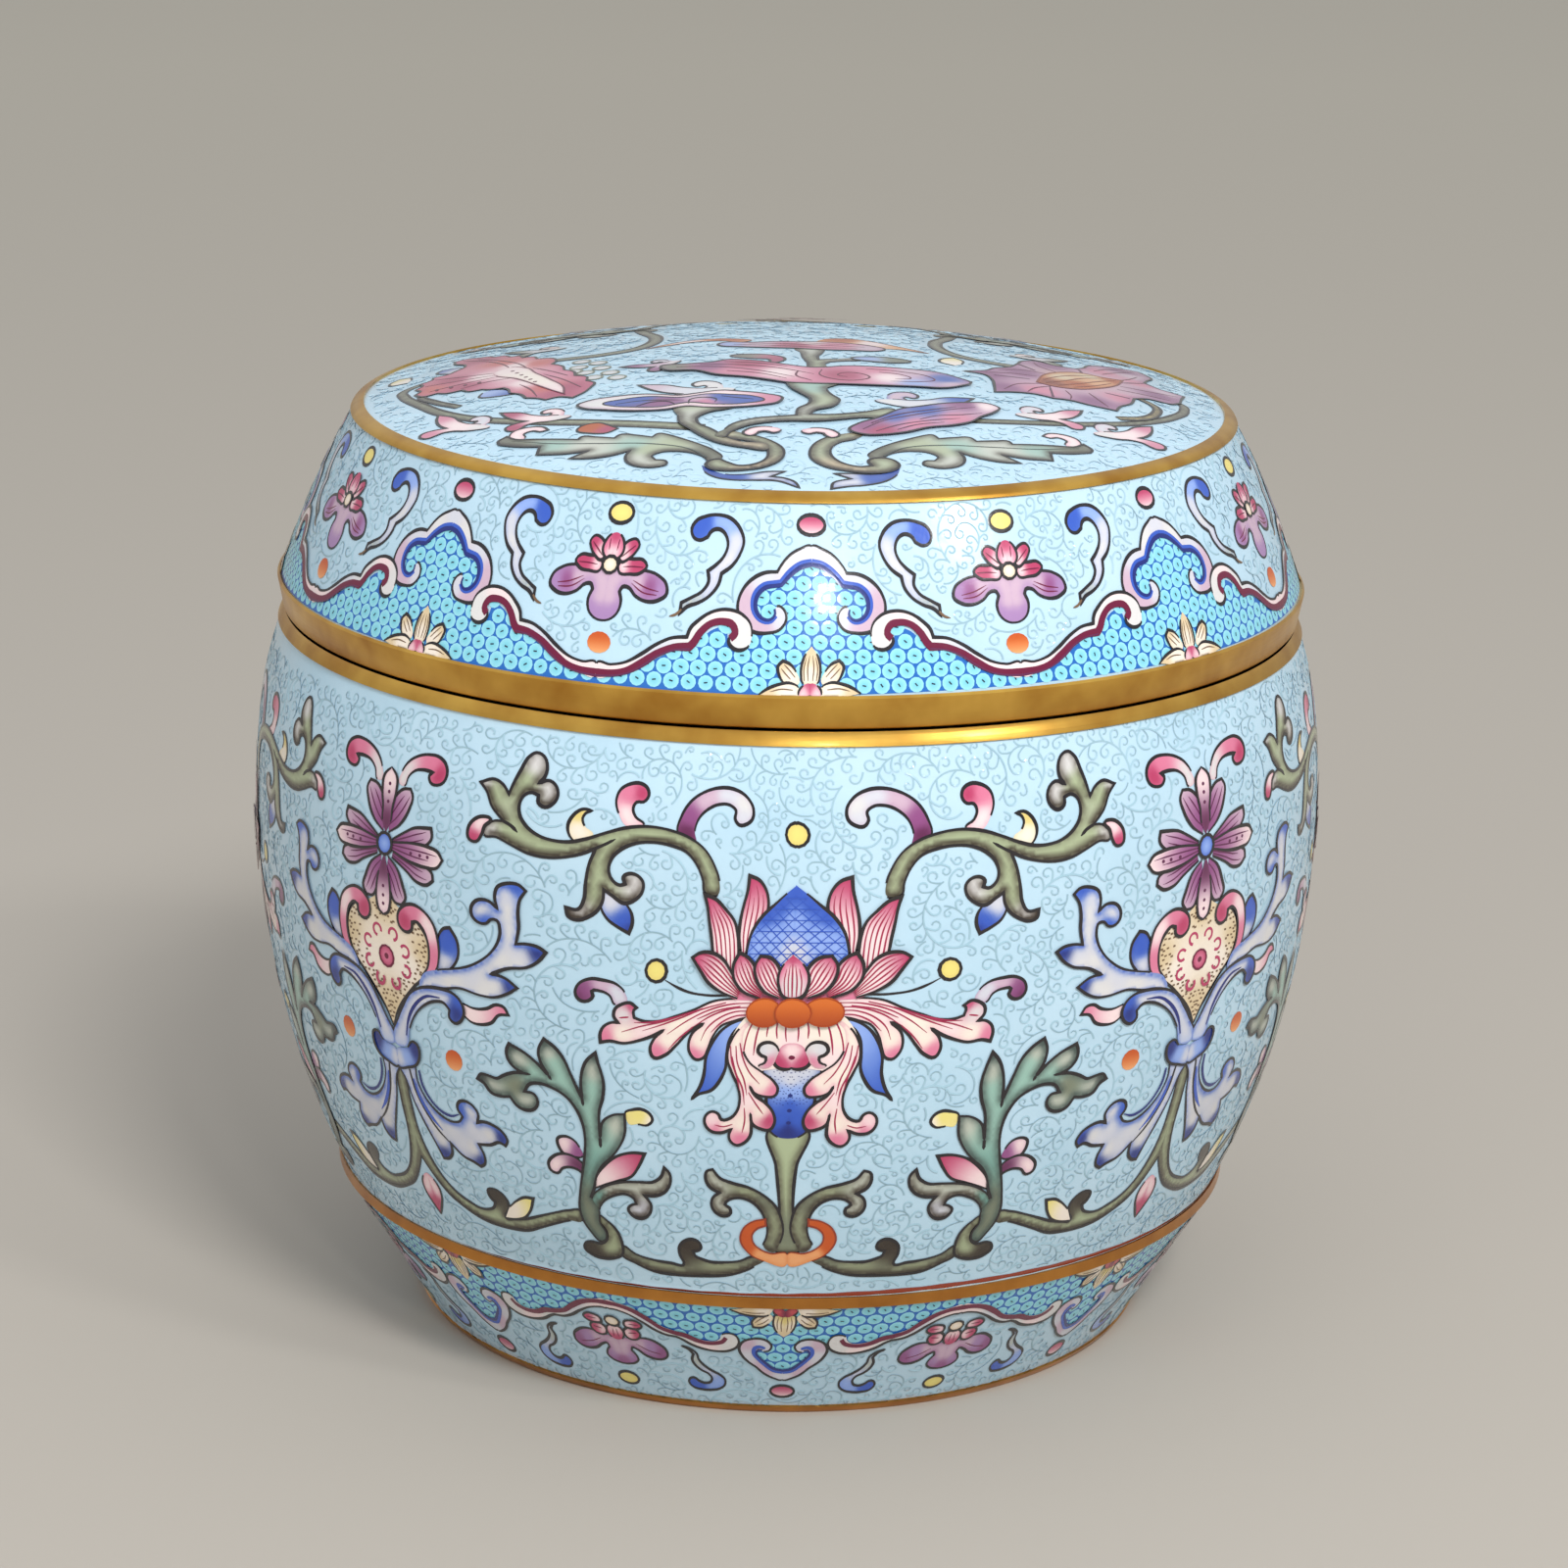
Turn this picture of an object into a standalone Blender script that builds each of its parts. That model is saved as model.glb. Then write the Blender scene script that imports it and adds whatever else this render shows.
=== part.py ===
# A drum-shaped porcelain jar with a loose lid, both turned on one axis.
# The jar is hollow: a tapering foot, a narrow fillet, a full belly and a rounded rim.
# A collar stands up inside the rim and centres the lid, which lifts straight off.
# The lid is hollow too: an upright band, a sloping side, a narrow ring and a low dome.
# All sizes are in metres. A profile point is (radius, height).

import math

import bmesh
import bpy
from mathutils import Vector

SEGMENTS = 72
MERGE_DISTANCE = 0.00001
SMOOTH_BELOW = math.radians(35)

# Foot: it stands on a ring, tapers outwards as it rises and is hollowed underneath.
FOOT_RADIUS = 0.0484
FOOT_HEIGHT = 0.01875
FOOT_EDGE = 0.0005
FOOT_RING_WIDTH = 0.0042
RECESS_DEPTH = 0.0045
RECESS_DRAFT = 0.0012

# Fillet: the narrow upright step between the foot and the belly.
FILLET_RADIUS = 0.0595
FILLET_HEIGHT = 0.00145

# Belly: widest at BELLY_HEIGHT. The fullness values say how late it turns inwards.
BELLY_RADIUS = 0.0700
BELLY_HEIGHT = 0.0695
BELLY_FULLNESS_BELOW = 2.2
BELLY_FULLNESS_ABOVE = 2.5

# Rim: it rises from the shoulder and rounds over to the seat that carries the lid.
SHOULDER_RADIUS = 0.0668
SHOULDER_HEIGHT = 0.0925
RIM_HEIGHT = 0.0016
RIM_DRAFT = 0.0005
RIM_ROUND = 0.0004

# Collar: it stands on the seat, inside the lid.
SEAT_WIDTH = 0.0037
COLLAR_RISE = 0.0042
COLLAR_WALL = 0.0026
COLLAR_EDGE = 0.0005
COLLAR_DEPTH = 0.0030
COVE_HEIGHT = 0.0070

# Wall and floor of the jar.
JAR_WALL = 0.0040
FLOOR_THICKNESS = 0.0040
FLOOR_CORNER = 0.0060

# Lid: its foot follows the rim and its socket follows the collar.
LID_GAP = 0.0003
LID_SETBACK = 0.0002
LID_CLEARANCE = 0.0005
LID_HEADROOM = 0.0010
BAND_HEIGHT = 0.0042
BAND_FLARE = 0.0007
BAND_EDGE = 0.0003
BAND_STEP = 0.0003
LID_SIDE_RISE = 0.02125
LID_SIDE_RUN = 0.0094
LID_SIDE_BULGE = 0.00058
RING_RISE = 0.00075
RING_RUN = 0.00125
DOME_RISE = 0.0072
LID_WALL = 0.0036

# Each stretch of profile is drawn with this many steps.
BELLY_STEPS = 10
CORNER_STEPS = 3
SIDE_STEPS = 5
DOME_STEPS = 5

GLAZE_BLUE = (0.50, 0.74, 0.80, 1.0)
GLAZE_ROUGHNESS = 0.2

FILLET_TOP = FOOT_HEIGHT + FILLET_HEIGHT
SEAT_HEIGHT = SHOULDER_HEIGHT + RIM_HEIGHT
RIM_RADIUS = SHOULDER_RADIUS - RIM_DRAFT
COLLAR_RADIUS = RIM_RADIUS - SEAT_WIDTH
COLLAR_INNER = COLLAR_RADIUS - COLLAR_WALL
COLLAR_TOP = SEAT_HEIGHT + COLLAR_RISE
COLLAR_FOOT = SEAT_HEIGHT - COLLAR_DEPTH
FLOOR_HEIGHT = RECESS_DEPTH + FLOOR_THICKNESS


def shares(steps):
    """The values 0 to 1 in equal steps."""
    return [i / steps for i in range(steps + 1)]


def bowed_line(start, end, bow, steps):
    """Points from start to end on a shallow curve whose middle stands out by bow."""
    return [
        start.lerp(end, share) + Vector((4 * bow * share * (1 - share), 0))
        for share in shares(steps)
    ]


def belly_radius(height):
    """The outer radius of the belly at a height."""
    if height < BELLY_HEIGHT:
        share = (BELLY_HEIGHT - height) / (BELLY_HEIGHT - FILLET_TOP)
        return BELLY_RADIUS - (BELLY_RADIUS - FILLET_RADIUS) * share**BELLY_FULLNESS_BELOW
    share = (height - BELLY_HEIGHT) / (SHOULDER_HEIGHT - BELLY_HEIGHT)
    return BELLY_RADIUS - (BELLY_RADIUS - SHOULDER_RADIUS) * share**BELLY_FULLNESS_ABOVE


def belly_profile():
    """The belly's outside, from the fillet up to the shoulder."""
    rise = SHOULDER_HEIGHT - FILLET_TOP
    heights = [FILLET_TOP + rise * share for share in shares(BELLY_STEPS)]
    return [Vector((belly_radius(height), height)) for height in heights]


def inset(points, wall):
    """The inside of a wall: each point moved square to the curve, towards the axis."""
    moved = []
    for i, point in enumerate(points):
        before = points[max(i - 1, 0)]
        after = points[min(i + 1, len(points) - 1)]
        along = (after - before).normalized()
        moved.append(point + wall * Vector((-along.y, along.x)))
    return moved


def foot_profile():
    """The underside and the straight tapering foot, from the axis out and up to the fillet."""
    ring_inner = FOOT_RADIUS - FOOT_RING_WIDTH
    return [
        Vector((0, RECESS_DEPTH)),
        Vector((ring_inner - RECESS_DRAFT, RECESS_DEPTH)),
        Vector((ring_inner, 0)),
        Vector((FOOT_RADIUS - FOOT_EDGE, 0)),
        Vector((FOOT_RADIUS, FOOT_EDGE)),
        Vector((FILLET_RADIUS, FOOT_HEIGHT)),
    ]


def rim_profile():
    """The rim, the seat and the collar, up the outside and down to the collar's inside."""
    return [
        Vector((RIM_RADIUS, SEAT_HEIGHT - RIM_ROUND)),
        Vector((RIM_RADIUS - RIM_ROUND, SEAT_HEIGHT)),
        Vector((COLLAR_RADIUS, SEAT_HEIGHT)),
        Vector((COLLAR_RADIUS, COLLAR_TOP - COLLAR_EDGE)),
        Vector((COLLAR_RADIUS - COLLAR_EDGE, COLLAR_TOP)),
        Vector((COLLAR_INNER + COLLAR_EDGE, COLLAR_TOP)),
        Vector((COLLAR_INNER, COLLAR_TOP - COLLAR_EDGE)),
    ]


def jar_inside_profile():
    """The inside, from the collar's cove down the wall and across the floor to the axis."""
    slope = (FILLET_RADIUS - FOOT_RADIUS) / FOOT_HEIGHT
    corner_top = FLOOR_HEIGHT + FLOOR_CORNER
    cove_foot = COLLAR_FOOT - COVE_HEIGHT
    wall = [p for p in inset(belly_profile(), JAR_WALL) if corner_top < p.y < cove_foot]

    corner_radius = FOOT_RADIUS + slope * corner_top - JAR_WALL * math.hypot(1, slope)
    corner = []
    for share in shares(CORNER_STEPS):
        angle = math.radians(90) * share
        run = FLOOR_CORNER * (1 - math.cos(angle))
        drop = FLOOR_CORNER * math.sin(angle)
        corner.append(Vector((corner_radius - run, corner_top - drop)))
    collar_foot = Vector((COLLAR_INNER, COLLAR_FOOT))
    return [collar_foot] + wall[::-1] + corner + [Vector((0, FLOOR_HEIGHT))]


def jar_profile():
    """The jar's whole section, from the underside's middle round to the floor's middle."""
    return foot_profile() + belly_profile() + rim_profile() + jar_inside_profile()


def dome_profile(edge):
    """The dome's outside, from its edge to the axis, as part of a sphere."""
    sphere = (edge.x**2 + DOME_RISE**2) / (2 * DOME_RISE)
    centre_height = edge.y + DOME_RISE - sphere
    points = []
    for share in shares(DOME_STEPS):
        radius = edge.x * (1 - share)
        points.append(Vector((radius, centre_height + math.sqrt(sphere**2 - radius**2))))
    return points


def lid_profile():
    """The lid's whole section, from the dome's outside middle round to its inside middle."""
    foot = SEAT_HEIGHT + LID_GAP
    foot_radius = RIM_RADIUS - LID_SETBACK
    band_top = foot + BAND_HEIGHT
    band_radius = foot_radius + BAND_FLARE
    side_foot = Vector((band_radius - BAND_STEP, band_top))
    side_top = side_foot + Vector((-LID_SIDE_RUN, LID_SIDE_RISE))
    ring_top = side_top + Vector((-RING_RUN, RING_RISE))

    band = [
        Vector((foot_radius - BAND_EDGE, foot)),
        Vector((foot_radius, foot + BAND_EDGE)),
        Vector((band_radius, band_top - BAND_STEP)),
    ]
    side = bowed_line(side_foot, side_top, LID_SIDE_BULGE, SIDE_STEPS)
    dome = dome_profile(ring_top)

    socket = COLLAR_RADIUS + LID_CLEARANCE
    socket_top = COLLAR_TOP + LID_HEADROOM
    inner_side = [
        p for p in inset(side, LID_WALL) if p.x < socket and p.y > socket_top
    ]
    inner_top = inner_side[-1]
    inner_dome = [p - Vector((0, LID_WALL)) for p in dome]
    inner_dome = [p for p in inner_dome if p.x < inner_top.x - LID_WALL / 2]
    socket_wall = [Vector((socket, foot)), Vector((socket, socket_top))]
    inside = socket_wall + inner_side + inner_dome
    return dome[::-1] + side[::-1] + band[::-1] + inside


def turned(name, profile, material):
    """A solid of revolution about Z, from a section that starts and ends on the axis."""
    shape = bmesh.new()
    verts = [shape.verts.new((point.x, 0, point.y)) for point in profile]
    edges = [shape.edges.new(pair) for pair in zip(verts, verts[1:])]
    bmesh.ops.spin(
        shape,
        geom=verts + edges,
        cent=(0, 0, 0),
        axis=(0, 0, 1),
        angle=2 * math.pi,
        steps=SEGMENTS,
        use_merge=True,
    )
    bmesh.ops.remove_doubles(shape, verts=shape.verts, dist=MERGE_DISTANCE)
    bmesh.ops.recalc_face_normals(shape, faces=shape.faces)
    mesh = bpy.data.meshes.new(name)
    shape.to_mesh(mesh)
    shape.free()
    mesh.materials.append(material)
    mesh.shade_smooth()
    mesh.set_sharp_from_angle(angle=SMOOTH_BELOW)
    part = bpy.data.objects.new(name, mesh)
    bpy.context.scene.collection.objects.link(part)


def blue_glaze(name):
    """Pale blue glazed porcelain."""
    material = bpy.data.materials.new(name)
    material.use_nodes = True
    shader = material.node_tree.nodes["Principled BSDF"]
    shader.inputs["Base Color"].default_value = GLAZE_BLUE
    shader.inputs["Roughness"].default_value = GLAZE_ROUGHNESS
    shader.inputs["Metallic"].default_value = 0.0
    return material


for old in list(bpy.data.objects):
    bpy.data.objects.remove(old)
turned("jar", jar_profile(), blue_glaze("jar_glaze"))
turned("lid", lid_profile(), blue_glaze("lid_glaze"))
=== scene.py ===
# %% [markdown]
# # A painted porcelain jar with a loose lid
# The real jar is thrown and turned porcelain under a pale blue enamel. A fine scroll covers the blue,
# and flowers, leaves and borders are painted over it in enamels with dark outlines. The narrow rings
# are gilt. Here the turned forms come from the measured solids, and every painted thing is a thin
# mesh that lies on them, so that it stays sharp from any side.

# %% The tools and the measured solids
import math

import bmesh
import bpy
import numpy as np
from mathutils import Matrix, Vector
from mathutils.geometry import delaunay_2d_cdt


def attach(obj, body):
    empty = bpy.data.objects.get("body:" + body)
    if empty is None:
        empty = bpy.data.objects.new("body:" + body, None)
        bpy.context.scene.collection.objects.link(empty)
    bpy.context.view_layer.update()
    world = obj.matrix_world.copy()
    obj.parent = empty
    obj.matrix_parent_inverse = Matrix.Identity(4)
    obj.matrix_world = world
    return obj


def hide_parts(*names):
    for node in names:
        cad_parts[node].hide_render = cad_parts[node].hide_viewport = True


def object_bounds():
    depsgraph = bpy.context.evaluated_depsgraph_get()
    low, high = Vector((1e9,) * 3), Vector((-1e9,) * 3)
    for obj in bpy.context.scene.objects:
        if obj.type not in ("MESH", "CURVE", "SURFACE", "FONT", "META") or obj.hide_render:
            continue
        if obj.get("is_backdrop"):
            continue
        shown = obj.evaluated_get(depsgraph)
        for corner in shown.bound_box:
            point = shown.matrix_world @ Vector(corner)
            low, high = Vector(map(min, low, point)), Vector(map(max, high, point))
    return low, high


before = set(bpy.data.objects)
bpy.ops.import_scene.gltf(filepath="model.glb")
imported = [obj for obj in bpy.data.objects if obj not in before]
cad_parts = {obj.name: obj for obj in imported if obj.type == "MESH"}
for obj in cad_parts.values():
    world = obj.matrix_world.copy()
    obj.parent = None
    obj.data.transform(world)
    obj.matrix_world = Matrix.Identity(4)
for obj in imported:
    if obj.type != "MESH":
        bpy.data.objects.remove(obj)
cad_box = [list(corner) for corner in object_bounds()]
MM = 0.001
TINY = 1e-6
BODY = "root"
print("measured box in mm:", [[round(side / MM, 2) for side in corner] for corner in cad_box])

# %% [markdown]
# ## Reading the turned sections
# A turned piece is known once its section is known. The solids have 72 sides, so one row of their
# edges runs in the plane that cuts the jar in two, and walking along it gives the section in order.
# The sizes could also be typed in again, but reading them keeps the looks on the solids.


# %% Walk along the cut edge of a solid
def section(node):
    """The outline of a turned solid in mm, as (radius, height), in order along its surface."""
    solid = bmesh.new()
    solid.from_mesh(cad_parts[node].data)
    bmesh.ops.remove_doubles(solid, verts=solid.verts, dist=MM / 1000)
    cut = {v for v in solid.verts if abs(v.co.x) < MM / 1000 and v.co.y < MM / 1000}
    near = {v: [e.other_vert(v) for e in v.link_edges if e.other_vert(v) in cut] for v in cut}
    line = [min(cut, key=lambda v: (round(-v.co.y / MM, 2), v.co.z))]
    while ahead := [v for v in near[line[-1]] if v not in line]:
        line.append(min(ahead, key=lambda v: (v.co - line[-1].co).length))
    found = np.array([(abs(v.co.y), v.co.z) for v in line]) / MM
    solid.free()
    return found


jar_cut = section("jar")
lid_cut = section("lid")
print("jar section:", len(jar_cut), "points; lid section:", len(lid_cut), "points")

# %% [markdown]
# ## From a few points to smooth curves
# Turners and painters both work with curves that pass through a few chosen places. One function
# draws them all: the curve leaves each point in the direction of the circle through it and its two
# neighbours, and a point marked as a corner starts a new curve.


# %% A smooth line through chosen points
def directions(points, corner, closed):
    """The unit direction in which a curve arrives at each point, and the one in which it leaves."""
    steps = np.roll(points, -1, axis=0) - points
    reach = np.maximum(np.linalg.norm(steps, axis=1), TINY)[:, None]
    ahead = steps / reach
    behind, back = np.roll(ahead, 1, axis=0), np.roll(reach, 1, axis=0)
    through = (behind * reach + ahead * back) / (reach + back)
    through /= np.maximum(np.linalg.norm(through, axis=1), TINY)[:, None]
    sharp = np.array(corner, bool)
    if not closed:
        sharp[[0, -1]] = True
    sharp = sharp[:, None]
    return np.where(sharp, behind, through), np.where(sharp, ahead, through)


def smooth(points, corner, spacing, closed=False):
    """Points along the curve, no further apart than the spacing, and the chosen point behind each."""
    points = np.asarray(points, float)
    arrive, leave = directions(points, corner, closed)
    line, owner = [], []
    for i in range(len(points) if closed else len(points) - 1):
        j = (i + 1) % len(points)
        span = np.linalg.norm(points[j] - points[i])
        count = max(1, math.ceil(span / spacing))
        t = (np.arange(count) / count)[:, None]
        out, turn = leave[i] * span, arrive[j] * span
        line.append(
            points[i] * (2 * t**3 - 3 * t**2 + 1)
            + points[j] * (3 * t**2 - 2 * t**3)
            + out * (t**3 - 2 * t**2 + t)
            + turn * (t**3 - t**2)
        )
        owner += [i] * count
    if not closed:
        line.append(points[-1:])
        owner.append(len(points) - 1)
    return np.concatenate(line), np.array(owner)


# %% [markdown]
# ## The glazed and the gilt stretches
# Along each section, some stretches are glazed and painted, and the narrow ones are gilt. The
# painted stretches are set back by a hair, so that the enamels that lie on them end where the
# measured surface is, and the gilt rings stand level with them.

# %% Name the places along the sections
FOOT_LOW, FOOT_TOP, BELLY_LOW, BELLY_TOP, RIM_TOP = 3, 4, 5, 15, 17
BAND_LOW, SIDE_LOW, SIDE_TOP, DOME_EDGE = 12, 15, 20, 21
SET_BACK = 0.30
SECTION_STEP = 0.9
BEND = math.radians(32)


def square_to(points):
    """The unit direction out of the wall at each point of a section."""
    along = np.gradient(points, axis=0)
    along /= np.linalg.norm(along, axis=1)[:, None]
    return np.stack([along[:, 1], -along[:, 0]], axis=1)


def eased(points):
    """A stretch of section as a curve that keeps its sharp corners."""
    steps = np.diff(points, axis=0)
    heading = np.arctan2(steps[:, 1], steps[:, 0])
    turns = np.abs((np.diff(heading) + math.pi) % (2 * math.pi) - math.pi)
    corner = [True] + list(turns > BEND) + [True]
    return smooth(points, corner, SECTION_STEP)[0]


def stretch(points, first, last, set_back=SET_BACK):
    """A painted stretch of section, set back into the wall."""
    line = eased(points[first : last + 1])
    return line - set_back * square_to(line)


foot_line = stretch(jar_cut, FOOT_LOW, FOOT_TOP)
belly_line = stretch(jar_cut, BELLY_LOW, BELLY_TOP)
side_line = stretch(lid_cut, SIDE_LOW, SIDE_TOP)
dome_line = stretch(lid_cut, DOME_EDGE, len(lid_cut) - 1)
for line in (foot_line, belly_line, side_line, dome_line):
    print("painted from", np.round(line[0], 2), "to", np.round(line[-1], 2))


# %% [markdown]
# ## A short way to write trees of nodes
# A shader is arithmetic on what changes over a surface, and a Geometry Nodes tree is arithmetic on
# points. Adding each node by hand hides that, so a small class wraps a socket, and adding or
# multiplying it with another adds the Math node. What stays the same all over a surface is set on
# the shader itself.


# %% Sockets that can be added and multiplied
class Wire:
    """One output socket in a tree, with arithmetic."""

    def __init__(self, tree, socket):
        self.tree, self.socket = tree, socket

    def __add__(self, other):
        return self.tree.math("ADD", self, other)

    def __sub__(self, other):
        return self.tree.math("SUBTRACT", self, other)

    def __rsub__(self, other):
        return self.tree.math("SUBTRACT", other, self)

    def __mul__(self, other):
        return self.tree.math("MULTIPLY", self, other)

    def __truediv__(self, other):
        return self.tree.math("DIVIDE", self, other)

    __radd__, __rmul__ = __add__, __mul__


class Tree:
    """A tree of nodes that is written as calls."""

    def __init__(self, tree):
        self.tree = tree

    def add(self, kind, values=(), output=0, **settings):
        """Adds a node, sets its settings, then its inputs by name or number, and returns an output."""
        node = self.tree.nodes.new(kind)
        for setting, value in settings.items():
            setattr(node, setting, value)
        for socket, value in dict(values).items():
            self.join(node.inputs[socket], value)
        return Wire(self, node.outputs[output])

    def join(self, socket, value):
        """Links a wire to a socket, or sets a plain value on it."""
        if isinstance(value, Wire):
            self.tree.links.new(value.socket, socket)
        else:
            socket.default_value = value

    def math(self, operation, *values):
        return self.add("ShaderNodeMath", enumerate(values), operation=operation)

    def mix(self, share, first, second, blend="MIX"):
        """A colour mixed from two, by a share from 0 to 1."""
        values = {0: share, 6: first, 7: second}
        return self.add("ShaderNodeMix", values, 2, data_type="RGBA", blend_type=blend)


class Shader(Tree):
    """A material with one Principled shader. Keyword values are its constants, with _ for a space."""

    def __init__(self, name, **constants):
        self.material = bpy.data.materials.new(name)
        self.material.use_nodes = True
        super().__init__(self.material.node_tree)
        for socket, value in constants.items():
            self.feed(socket.replace("_", " "), value)

    def feed(self, socket, value):
        """Sends a wire or a plain value to one of the shader's own sockets."""
        self.join(self.tree.nodes["Principled BSDF"].inputs[socket], value)

    def noise(self, scale, detail=2.0, where=None):
        """Soft noise with a mean of 0.5, in the object's own coordinates or along a vector."""
        where = where or self.add("ShaderNodeTexCoord", output="Object")
        return self.add("ShaderNodeTexNoise", {"Vector": where, "Scale": scale, "Detail": detail}, "Fac")

    def bump(self, height, distance, strength=1.0):
        """Feeds a height to the shader's normal. The distance is in metres."""
        values = {"Height": height, "Distance": distance, "Strength": strength}
        self.feed("Normal", self.add("ShaderNodeBump", values))


def linear(seen):
    """Colours as an eye reads them, 0 to 1, turned into the linear light that shaders use."""
    return np.where(seen < 0.04045, seen / 12.92, ((seen + 0.055) / 1.055) ** 2.4)


def colour(*seen):
    """An opaque colour for a shader, from red, green and blue of 0 to 255."""
    return (*linear(np.array(seen) / 255), 1.0)


# %% [markdown]
# ## Glaze
# The blue enamel is laid with a dabber, so its tone wanders a little and its skin is never quite
# flat. The inside is left as plain white glazed porcelain. One material holds both, and an
# attribute of the turned mesh says where the blue is. Two materials would need a hard seam.

# %% The glazed body
GROUND_BLUE = colour(182, 210, 226)
GROUND_DEEP = colour(172, 203, 220)
PORCELAIN = colour(232, 233, 228)


def glaze(name):
    """White glazed porcelain that is blue where the attribute blue is 1."""
    made = Shader(name, Metallic=0.0, IOR=1.5, Coat_Weight=0.25, Coat_Roughness=0.06)
    dabs = made.noise(95.0, 3.0)
    blue = made.mix((dabs - 0.35) * 2.4, GROUND_BLUE, GROUND_DEEP)
    where = made.add("ShaderNodeAttribute", output="Fac", attribute_name="blue")
    made.feed("Base Color", made.mix(where, PORCELAIN, blue))
    made.feed("Roughness", made.noise(240.0) * 0.10 + 0.17)
    made.bump(made.noise(700.0, 2.0), 0.00004, 0.6)
    return made.material


# %% [markdown]
# ## Gilding
# The rings are painted with liquid gold and burnished, which leaves a satin metal with very fine
# marks that run round the jar. Stretching a noise flat around the axis draws those marks, which a
# plain noise could not. The two rings at the foot get a darker, redder gold: painted shade and a
# painted reflection of the table, as they face down in the jar's shadow.

# %% The gilt rings
GOLD, GOLD_WORN = colour(232, 184, 86), colour(188, 132, 50)
# The foot rings' gold is painted darker and redder, as painted shade and a painted reflection of the table.
SHADED_GOLD, SHADED_GOLD_WORN = colour(204, 140, 66), colour(162, 102, 46)


def gilding(name, bright, worn):
    """Satin gold, burnished in marks that run round the jar."""
    made = Shader(name, Metallic=1.0, Coat_Weight=0.15, Coat_Roughness=0.12)
    place = made.add("ShaderNodeTexCoord", output="Object")
    flat = made.add("ShaderNodeMapping", {"Vector": place, "Scale": (60.0, 60.0, 5200.0)})
    marks = made.noise(1.0, 3.0, flat)
    cloud = made.noise(130.0, 3.0)
    made.feed("Base Color", made.mix((cloud - 0.35) * 2.4, bright, worn))
    made.feed("Roughness", marks * 0.16 + cloud * 0.10 + 0.20)
    made.bump(marks, 0.00003, 0.5)
    return made.material


# %% [markdown]
# ## Turning on a lathe of nodes
# A turned piece follows one rule: each point of its section goes round the axis. That is a grid
# whose rows are the section's points and whose columns are the steps round the axis, which Geometry
# Nodes can lay out with two named inputs. The Screw modifier could do it too, but the grid also
# carries an attribute from the section to the surface.


# %% The lathe
class Geometry(Tree):
    """A Geometry Nodes tree with named inputs."""

    def __init__(self, name, **inputs):
        super().__init__(bpy.data.node_groups.new(name, "GeometryNodeTree"))
        face = self.tree.interface
        face.new_socket("Geometry", in_out="INPUT", socket_type="NodeSocketGeometry")
        for label, kind in inputs.items():
            face.new_socket(label, in_out="INPUT", socket_type="NodeSocket" + kind)
        face.new_socket("Geometry", in_out="OUTPUT", socket_type="NodeSocketGeometry")
        self.inlet = self.tree.nodes.new("NodeGroupInput")
        self.outlet = self.tree.nodes.new("NodeGroupOutput")

    def given(self, label):
        return Wire(self, self.inlet.outputs[label])

    def stored(self, geometry, name, value, kind):
        """The geometry with a value stored on it as an attribute."""
        values = {"Geometry": geometry, "Name": name, "Value": value}
        return self.add("GeometryNodeStoreNamedAttribute", values, data_type=kind)

    def finish(self, geometry):
        """Ends the tree in Realize Instances and Set Material."""
        whole = self.add("GeometryNodeRealizeInstances", {"Geometry": geometry})
        worn = self.add("GeometryNodeSetMaterial", {"Geometry": whole, "Material": self.given("Finish")})
        self.join(self.outlet.inputs[0], worn)
        return self.tree


def lathe_tree():
    """A grid whose rows are the points of a section, wound round the axis and closed."""
    lathe = Geometry("Lathe", Steps="Int", Finish="Material")
    cut, steps = lathe.given("Geometry"), lathe.given("Steps")
    rings = lathe.add("GeometryNodeAttributeDomainSize", {"Geometry": cut}, component="MESH")
    grid = lathe.add("GeometryNodeMeshGrid", {"Vertices X": steps + 1, "Vertices Y": rings})
    index = lathe.add("GeometryNodeInputIndex")
    ring = lathe.math("MODULO", index, rings)
    angle = lathe.math("FLOOR", index / rings) * (2 * math.pi) / steps

    def read(value, kind):
        """A value of the section at the point that a grid point comes from."""
        return lathe.add("GeometryNodeSampleIndex", {0: cut, "Value": value, "Index": ring}, data_type=kind)

    spot = read(lathe.add("GeometryNodeInputPosition"), "FLOAT_VECTOR")
    radius = lathe.add("ShaderNodeSeparateXYZ", {0: spot})
    height = lathe.add("ShaderNodeSeparateXYZ", {0: spot}, "Z")
    east, south = radius * lathe.math("SINE", angle), radius * (lathe.math("COSINE", angle) * -1)
    point = lathe.add("ShaderNodeCombineXYZ", {"X": east, "Y": south, "Z": height})
    turned = lathe.add("GeometryNodeSetPosition", {"Geometry": grid, "Position": point})
    blue = lathe.add("GeometryNodeInputNamedAttribute", {"Name": "blue"}, data_type="FLOAT")
    kept = lathe.stored(turned, "blue", read(blue, "FLOAT"), "FLOAT")
    closed = lathe.add("GeometryNodeMergeByDistance", {"Geometry": kept, "Distance": MM / 1000})
    return lathe.finish(closed)


def shown(name, data):
    """A new object of the scene, for a mesh, a lamp or the camera."""
    thing = bpy.data.objects.new(name, data)
    bpy.context.scene.collection.objects.link(thing)
    return thing


def as_piece(name, mesh, tree, **inputs):
    """Runs a tree on a mesh, and keeps the result as a plain object without the modifier."""
    source = shown(name, mesh)
    modifier = source.modifiers.new("Tree", "NODES")
    modifier.node_group = tree
    for socket in tree.interface.items_tree:
        if socket.in_out == "INPUT" and socket.name in inputs:
            modifier[socket.identifier] = inputs[socket.name]
    graph = bpy.context.evaluated_depsgraph_get()
    result = bpy.data.meshes.new_from_object(source.evaluated_get(graph), depsgraph=graph)
    source.modifiers.remove(modifier)
    source.data, result.name = result, name
    return source


TURN_STEPS = 192
SHARP_FROM = math.radians(38)


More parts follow.
